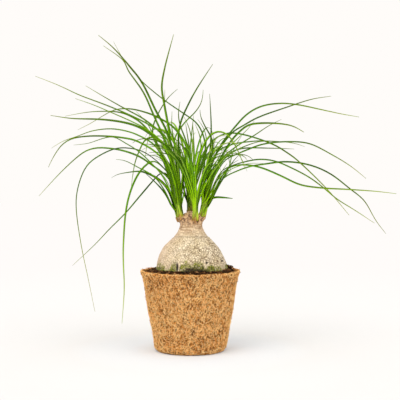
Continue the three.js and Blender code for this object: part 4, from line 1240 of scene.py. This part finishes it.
def pot_outline():
    """Radius, height and share of unevenness, from under the foot over the rim to the inside."""
    outside = [(pot_radius(height) + outward, height, share)
               for outward, height, share in POT_OUTSIDE]
    inside = [(pot_radius(height) - POT_WALL + outward, height, 0)
              for outward, height in POT_INSIDE]
    return np.array([(0, 0, 0), (POT_FLAT, 0, 0), *outside, *inside, (0, POT_FLOOR, 0)])


def path_of_outline(gap):
    """The outline in even steps: how far along, radius with height and unevenness, way out."""
    outline = pot_outline()
    lengths = path_lengths(outline[:, :2])
    wanted = np.linspace(0, lengths[-1], round(lengths[-1] / gap) + 1)
    even = softened(resampled(outline, lengths, wanted), 2)
    along = unit(np.gradient(even[:, :2], axis=0))
    return wanted, even, np.stack([along[:, 1], -along[:, 0]], 1)


def coir_pits(places):
    """How deep the coir is pitted, from 0 to 1."""
    hollow = noise_sum(places * PIT_STRETCH, *PIT_NOISE)
    return np.clip(hollow * PIT_SHARPNESS - PIT_RARITY, 0, 1)


def coir_relief(angle, height):
    """How far the pressed wall stands out or in, in mm."""
    places = around(angle, pot_radius(height), height)
    relief = POT_UNEVEN * wave_sum(POT_WAVES, angle, height)
    relief = relief + noise_sum(places * WALL_LUMP_STRETCH, WALL_LUMPS)
    return relief - PIT_DEPTH * coir_pits(places) - WALL_INSET


def coir_shade(places):
    """How much darker the coir is, from 0 to 1."""
    x, y, height = np.moveaxis(places, -1, 0)
    shade = noise_sum(places * COIR_CLOUD_STRETCH, COIR_CLOUDS)
    inward = np.clip((pot_radius(height) + RIM_OUT - np.hypot(x, y)) / POT_WALL, 0, 1)
    # Painted shade on the top and inner side of the rim
    shade += RIM_PAINTED_SHADE * inward * np.clip((height - RIM_PAINTED_SHADE_HEIGHT) / RIM_PAINTED_SHADE_FADE, 0, 1)
    # Painted shadow along the foot, where the pot stands on the floor
    shade += FOOT_PAINTED_SHADOW * np.exp(-(height / FOOT_PAINTED_SHADOW_HEIGHT) ** 2)
    for centre, level, wide, tall, amount in COIR_STAINS:
        aside = apart(np.arctan2(y, x), centre) / wide
        shade += amount * np.exp(-aside ** 2 - ((height - level) / tall) ** 2)
    return shade


def pot_wall(material):
    angle = turns(POT_SIDES)
    _, even, way_out = path_of_outline(POT_OUTLINE_GAP)
    radius, height, share = even.T[..., None]
    out, up = way_out.T[..., None]
    relief = coir_relief(angle, height) * share
    rings = around(angle, radius + out * relief, height + up * relief * (height > WALL_UNEVEN_START))
    points, quads, fans = closed_skin(rings[1:-1], (0, 0, 0), (0, 0, POT_FLOOR))
    made = make_object("pot_wall", points, [quads, fans], material)
    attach(made, "root")
    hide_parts("pot")


def fibre_paths(chance, count, lengths, radii, heights):
    """Points along each strand, the way out of the wall there, and the strands' radii."""
    wanted, even, way_out = path_of_outline(FIBRE_OUTLINE_GAP)
    foot = slice(0, FIBRE_START_STEPS)
    first = np.interp(FIBRE_START, even[foot, 1], wanted[foot])
    last = wanted[np.argmax(even[:, 1])] + FIBRE_PAST_RIM
    place = first + (last - first) * chance.random(count) ** FIBRE_CROWDING
    angle = chance.random(count) * FULL_TURN
    tilt = np.where(chance.random(count) < FIBRE_UPRIGHT, chance.normal(0, FIBRE_LEAN, count),
                    chance.uniform(-math.pi, math.pi, count))
    tilt = np.where(chance.random(count) < 0.5, tilt, tilt + math.pi)
    bend = chance.normal(0, FIBRE_BEND, count)
    length = chance.uniform(*lengths, count) * chance.uniform(*FIBRE_SHORTENING, count)
    radius = chance.uniform(*radii, count)
    proud = chance.uniform(*heights, count)
    stray = np.where(chance.random(count) < FIBRE_STRAY,
                     chance.uniform(*FIBRE_STRAY_RISE, count), 0)
    step = length / (FIBRE_RINGS - 1)
    centres, normals = [], []
    for share in np.linspace(0, 1, FIBRE_RINGS):
        held = np.clip(place, first, last + FIBRE_RUN_ON)
        reach, height, part = resampled(even, wanted, held).T
        out, up = resampled(way_out, wanted, held).T
        lift = (coir_relief(angle, height) * part + stray * share ** 2
                + proud * (FIBRE_ARCH + math.sin(math.pi * share)) - FIBRE_SUNK)
        height = np.maximum(height + up * lift, FIBRE_LOWEST)
        centres.append(around(angle, reach + out * lift, height))
        normals.append(around(angle, out, up))
        place = place + step * np.cos(tilt)
        angle = angle + step * np.sin(tilt) / np.maximum(reach, FIBRE_LEAST_REACH)
        tilt = tilt + bend * step
    return np.stack(centres, 1), np.stack(normals, 1), radius


def coir_fibres(layer, material):
    """Thin curved strands pressed into the wall, over the rim and a little way inside."""
    name, count, lengths, radii, heights, tint, spread = FIBRE_LAYERS[layer]
    chance = np.random.default_rng(FIBRE_SEED + layer)
    centres, normals, radius = fibre_paths(chance, count, lengths, radii, heights)
    along = unit(np.gradient(centres, axis=1))
    across = unit(np.cross(along, normals))
    above = np.cross(along, across)
    middleness = np.sin(math.pi * np.linspace(0, 1, FIBRE_RINGS))
    thick = (radius[:, None] * (FIBRE_TIP + (1 - FIBRE_TIP) * middleness))[..., None]
    corners = [centres + thick * (across * math.cos(turn) * FIBRE_FLATNESS + above * math.sin(turn))
               for turn in turns(3)]
    # Darker in the pits as painted shade
    tint = tint - coir_shade(centres) - PIT_SHADE * coir_pits(centres)
    tint = tint + chance.normal(0, spread, count)[:, None] + noise_sum(centres, FIBRE_MOTTLE)
    faces = [tube_faces(count, FIBRE_RINGS, 3), end_triangles(count, FIBRE_RINGS)]
    values = {"tint": np.repeat(np.clip(tint, 0, 1).ravel(), 3)}
    made = make_object(name, np.stack(corners, 2).reshape(-1, 3), faces, material, values)
    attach(made, "root")


# Soil
def soil_height(radius):
    reach, height = np.array(SOIL_TOP[::-1]).T
    return np.interp(radius, reach, height)


def soil_lump(angle, radius):
    return SOIL_LUMP * wave_sum(SOIL_WAVES, angle, radius)


def soil_body(material):
    """Lumpy ground round the stem, with its side and underside hidden in the pot."""
    angle = turns(SOIL_SIDES)
    rings = [around(angle, pot_radius(height) - POT_WALL - gap, height)
             for gap, height in SOIL_SIDE]
    for radius in np.linspace(SOIL_TOP[0][0], SOIL_TOP_END, SOIL_TOP_RINGS):
        ring = around(angle, radius, soil_height(radius))
        ring[:, 2] += soil_lump(angle, radius) + noise_sum(ring * (1, 1, 0), *SOIL_BUMPS)
        rings.append(ring)
    rings.append(around(angle, *SOIL_MIDDLE))
    points, quads, fans = closed_skin(rings, (0, 0, SOIL_SIDE[0][1]), (0, 0, SOIL_MIDDLE[1]))
    made = make_object("soil_ground", points, [quads, fans], material)
    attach(made, "root")
    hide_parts("soil")


def soil_crumbs(material):
    """Loose crumbs and bits of bark on the soil."""
    chance = np.random.default_rng(CRUMB_SEED)
    points, tints = [], []
    for index in range(CRUMB_COUNT):
        bark = index < CRUMB_BARK_COUNT
        heap = index % CRUMB_HEAP == CRUMB_HEAP - 1
        radius = chance.uniform(*(CRUMB_REACH if index % CRUMB_NEAR else CRUMB_NEAR_REACH))
        turn = chance.uniform(0, FULL_TURN)
        if heap:
            radius = chance.normal(*HEAP_REACH)
            turn = chance.normal(*HEAP_TURN)
        size = chance.uniform(*(BARK_SIZE if bark else CRUMB_SIZE))
        stretch = np.array([1, chance.uniform(*CRUMB_WIDTH), chance.uniform(*CRUMB_FLATNESS)])
        if bark:
            stretch = np.array([chance.uniform(*BARK_LENGTH), BARK_WIDTH, BARK_FLATNESS])
        uneven = 1 + chance.normal(0, CRUMB_UNEVEN, (len(CRUMB_CORNERS), 1))
        corners = CRUMB_CORNERS * uneven * stretch * size
        axis = unit(chance.normal(0, 1, 3))
        corners = rotated(corners, axis, chance.uniform(0, BARK_TILT if bark else FULL_TURN))
        corners = rotated(corners, np.array([0, 0, 1]), chance.uniform(0, FULL_TURN))
        height = soil_height(radius) + soil_lump(turn, radius) + size * CRUMB_RISE
        if heap:
            height += chance.uniform(0, HEAP_RISE)
        height += chance.uniform(-CRUMB_LIFT, CRUMB_LIFT)
        points.append(corners + around(turn, radius, height))
        tint = chance.uniform(*BARK_TINT) if bark else chance.beta(*CRUMB_TINT)
        tints.append(np.full(len(CRUMB_CORNERS), tint))
    faces = repeated(CRUMB_FACES, CRUMB_COUNT, len(CRUMB_CORNERS))
    made = make_object("soil_crumbs", np.concatenate(points), [faces], material,
                       {"tint": np.concatenate(tints)})
    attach(made, "root")


# Stem
def ring_round(centre, along, radius, sides):
    along = unit(along)
    sideways = unit(np.cross((0, 1, 0), along))
    forward = np.cross(along, sideways)
    angle = turns(sides)[:, None]
    return centre + radius * (np.cos(angle) * sideways + np.sin(angle) * forward)


def stem_rings():
    profile = np.array(STEM_PROFILE, dtype=float)
    lengths = path_lengths(profile)
    wanted = np.linspace(STEM_POLE_GAP, lengths[-1] - STEM_POLE_GAP, STEM_RINGS)
    angle = turns(STEM_SIDES)
    rings = []
    for height, radius in softened(resampled(profile, lengths, wanted), STEM_ROUNDS):
        spread = (height - STEM_LOBE_HEIGHT) / STEM_LOBE_SPREAD
        lobes = STEM_LOBE * math.exp(-spread * spread) * wave_sum(STEM_LOBE_WAVES, angle, 0)
        rings.append(around(angle, radius + lobes, height) + (STEM_X, 0, 0))
    return rings


def stub_rings(crown):
    """Rings of the knob that carries a crown."""
    foot, lean, size = CROWNS[crown]
    rings = []
    for height, share, radius in STUB_PROFILE:
        centre = np.array([STEM_X + (foot[0] - STEM_X) * share, foot[1] * share,
                           foot[2] + height])
        along = (*lean, 1) if share == 1 else (foot[0] - STEM_X, foot[1], STUB_SLOPE_HEIGHT)
        rings.append(ring_round(centre, np.array(along), radius * size, STUB_SIDES))
    return rings


def root_rings(heading, outward, depth, thickness):
    heading = math.radians(heading)
    rings = []
    for share in np.linspace(0, 1, ROOT_RINGS):
        reach = ROOT_START_RADIUS + outward * math.sin(share * math.pi / 2)
        height = ROOT_START_HEIGHT - depth * share ** ROOT_DIVE
        along = around(heading, ROOT_WAY[0] - share, -ROOT_WAY[1] - share)
        radius = thickness * (1 - (1 - ROOT_TIP_SHARE) * share)
        centre = around(heading, reach, height) + (STEM_X, 0, 0)
        rings.append(ring_round(centre, along, radius, ROOT_SIDES))
    return rings


def moss_at(places, turn):
    """How mossy the bark is, from 0 to 1."""
    level = np.full(len(places), MOSS_HEIGHT)
    for centre, wide, top in MOSS_PATCHES:
        patch = np.exp(-(apart(turn, centre) / wide) ** 4)
        level = np.maximum(level, MOSS_HEIGHT + (top - MOSS_HEIGHT) * patch)
    level = level + noise_sum(places, *MOSS_EDGE)
    cover = MOSS_COVER + noise_sum(places, *MOSS_GAPS)
    moss = np.clip(fade(places[:, 2], level, MOSS_FADE) * cover * MOSS_STRENGTH, 0, 1)
    return moss * (places[:, 2] < MOSS_TOP)


def scar_at(places):
    """How strong the scars on the front are, from 0 to 1."""
    dark = np.zeros(len(places))
    for x, height, wide, tall, amount in STEM_SCARS:
        off = ((places[:, 0] - x) / wide) ** 2 + ((places[:, 2] - height) / tall) ** 2
        dark = np.maximum(dark, amount * np.exp(-off * off))
    return dark * (places[:, 1] < 0)


def bark_shape(places, ways):
    """Points of the bark moved along their normals by wrinkles and scars, and colour values."""
    turn = np.arctan2(places[:, 1], places[:, 0] - STEM_X)
    height = places[:, 2]
    neck = 1 - fade(height, NECK_START, NECK_FADE)
    head = 1 - fade(height, HEAD_START, HEAD_FADE)
    shelf = height - SHELF_HEIGHT - noise_sum(places, SHELF_WAVE)
    shelf = np.exp(-(shelf / SHELF_REACH) ** 2)
    scar = scar_at(places)
    lift = noise_sum(places, BULB_LUMPS) * (1 - neck) + noise_sum(places, BARK_GRAIN)
    lift += (noise_sum(places * NECK_WRINKLE_STRETCH, NECK_WRINKLES) - NECK_INSET) * neck
    lift += noise_sum(places, HEAD_KNOBS) * head - SHELF_DEPTH * shelf - SCAR_DEPTH * scar
    right_side = 0.5 + 0.5 * np.cos(turn + CRACK_TURN)
    upper = np.clip((height - CRACK_START) / CRACK_RISE, CRACK_LEAST, 1)
    centre, wide, rise = DIRT_RISE
    dirt_level = DIRT_HEIGHT + noise_sum(places, *DIRT_NOISE)
    dirt_level = dirt_level + rise * np.exp(-(apart(turn, centre) / wide) ** 4)
    return places + ways * lift[:, None], {
        "crack": (CRACK_ROUND + CRACK_SIDE * right_side) * (1 - neck) * upper,
        "green": moss_at(places, turn),
        "scar": np.clip(SCAR_DARKNESS * scar + SHELF_DARKNESS * shelf, 0, 1),
        "neck": neck,
        "head": head,
        "dirt": fade(height, dirt_level, DIRT_FADE),
        # Pinkish and darker on the left side: the bark's tint with painted shade
        "left": np.clip(-np.cos(turn), 0, 1) ** 3,
    }


def points_and_normals(mesh):
    """Points of a mesh in mm and their normals."""
    places = np.zeros(len(mesh.vertices) * 3, dtype=np.float32)
    ways = np.zeros(len(mesh.vertices) * 3, dtype=np.float32)
    mesh.vertices.foreach_get("co", places)
    mesh.vertex_normals.foreach_get("vector", ways)
    return places.reshape(-1, 3) / MM, ways.reshape(-1, 3)


def stem_object(material):
    """The swollen stem with its knobs and roots, made one by a fine remesh and then carved."""
    forms = [stem_rings()] + [stub_rings(crown) for crown in CROWNS]
    forms += [root_rings(*root) for root in ROOTS]
    parts = [closed_skin(rings, rings[0].mean(0), rings[-1].mean(0)) for rings in forms]
    plain_stem = make_object("stem_plain", *joined(parts), material)
    remesh = plain_stem.modifiers.new("voxels", "REMESH")
    remesh.mode = "VOXEL"
    remesh.voxel_size = STEM_VOXEL * MM
    smooth = plain_stem.modifiers.new("smooth", "SMOOTH")
    smooth.factor, smooth.iterations = STEM_SMOOTHING
    evaluated = plain_stem.evaluated_get(bpy.context.evaluated_depsgraph_get())
    mesh = bpy.data.meshes.new_from_object(evaluated)
    bpy.data.objects.remove(plain_stem)
    mesh.name = "stem_bark"
    places, values = bark_shape(*points_and_normals(mesh))
    mesh.vertices.foreach_set("co", (places * MM).astype(np.float32).ravel())
    for key, numbers in values.items():
        set_values(mesh, key, numbers)
    mesh.polygons.foreach_set("use_smooth", [True] * len(mesh.polygons))
    mesh.update()
    made = bpy.data.objects.new("stem_bark", mesh)
    bpy.context.scene.collection.objects.link(made)
    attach(made, "root")
    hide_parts("stem")
    return made


def moss_tufts(stem, material):
    """Tiny pointed tufts where the bark is green."""
    chance = np.random.default_rng(TUFT_SEED)
    places, ways = points_and_normals(stem.data)
    green = np.zeros(len(places), dtype=np.float32)
    stem.data.attributes["green"].data.foreach_get("value", green)
    fit = np.flatnonzero((green > TUFT_GREEN) & (places[:, 2] > TUFT_HEIGHT)
                         & (chance.random(len(green)) < TUFT_SHARE))
    places, ways, green = places[fit], ways[fit], green[fit]
    count = len(fit)
    ways = unit(ways + chance.normal(0, TUFT_LEAN, (count, 3)) + (0, 0, TUFT_PULL))
    sideways = unit(np.cross(ways, TUFT_ASIDE))
    forward = np.cross(ways, sideways)
    size = chance.uniform(*TUFT_SIZE, (count, 1))
    tall = chance.uniform(*TUFT_TALL, (count, 1)) * green[:, None]
    corners = [places - ways * TUFT_SUNK + size * (sideways * math.cos(turn) + forward * math.sin(turn))
               for turn in turns(3)]
    points = np.stack([*corners, places + ways * tall], 1).reshape(-1, 3)
    faces = repeated([(0, 2, 1), (0, 1, 3), (1, 2, 3), (2, 0, 3)], count, 4)
    tint = np.repeat(chance.uniform(*TUFT_TINT, count), 4)
    made = make_object("moss_tufts", points, [faces], material, {"tint": tint})
    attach(made, "root")


# Floor, lights and camera
def floor():
    shader = Shader("studio_floor", 0.95, 0.0)
    place = shader.place()
    from_pot = shader.distance(place, (0, 0, 0))
    far = shader.span(from_pot, *FLOOR_FAR_FADE)
    colour = shader.mix(far, FLOOR_COLOUR, FLOOR_FAR_COLOUR)
    # Painted light where the pot's shade falls in front of it, and a painted cool tint round the foot
    painted_light = shader.span(shader.distance(place, FLOOR_PAINTED_LIGHT_CENTRE), *FLOOR_PAINTED_LIGHT_FADE, 1.0, 0.0)
    colour = shader.mix(painted_light, colour, FLOOR_PAINTED_LIGHT_COLOUR)
    foot = shader.span(from_pot, *FLOOR_PAINTED_COOL_FADE, 1.0, 0.0)
    shader.colour(shader.mix(foot, colour, FLOOR_PAINTED_COOL_COLOUR))
    corners = [(x * FLOOR_HALF, y * FLOOR_HALF, 0) for x, y in ((-1, -1), (1, -1), (1, 1), (-1, 1))]
    made = make_object("studio_floor", corners, [[(0, 1, 2, 3)]], shader.material)


def lights():
    world = bpy.data.worlds.new("studio")
    world.use_nodes = True
    background = world.node_tree.nodes["Background"]
    background.inputs["Color"].default_value = srgb(*WORLD_COLOUR)
    background.inputs["Strength"].default_value = 1.0
    bpy.context.scene.world = world
    for name, (heading, height, power, softness) in LAMPS.items():
        data = bpy.data.lights.new(name, "SUN")
        data.energy = power
        data.angle = math.radians(softness)
        data.color = LAMP_COLOUR
        light = bpy.data.objects.new(name, data)
        light.rotation_euler = (math.radians(90 - height), 0, math.radians(heading))
        bpy.context.scene.collection.objects.link(light)


def camera():
    data = bpy.data.cameras.new("camera")
    data.lens = CAMERA_LENS
    data.sensor_width = CAMERA_SENSOR
    data.sensor_fit = "HORIZONTAL"
    data.clip_end = CAMERA_REACH
    made = bpy.data.objects.new("camera", data)
    made.location = (EYE_X * MM, -EYE_DISTANCE * MM, EYE_HEIGHT * MM)
    made.rotation_euler = (math.radians(90 - CAMERA_TILT), 0, 0)
    bpy.context.scene.collection.objects.link(made)
    bpy.context.scene.camera = made
    bpy.context.scene.view_settings.view_transform = "Standard"


def build():
    leaves = all_leaves()
    green = leaf_material()
    for crown in CROWNS:
        crown_object(crown, leaves, green)
    dry_scales(dry_material())
    stem = stem_object(stem_material())
    moss_tufts(stem, moss_material())
    pot_wall(coir_wall_material())
    fibre = coir_fibre_material()
    for layer in range(len(FIBRE_LAYERS)):
        coir_fibres(layer, fibre)
    soil_body(soil_material())
    soil_crumbs(crumb_material())
    floor()
    lights()
    camera()


build()
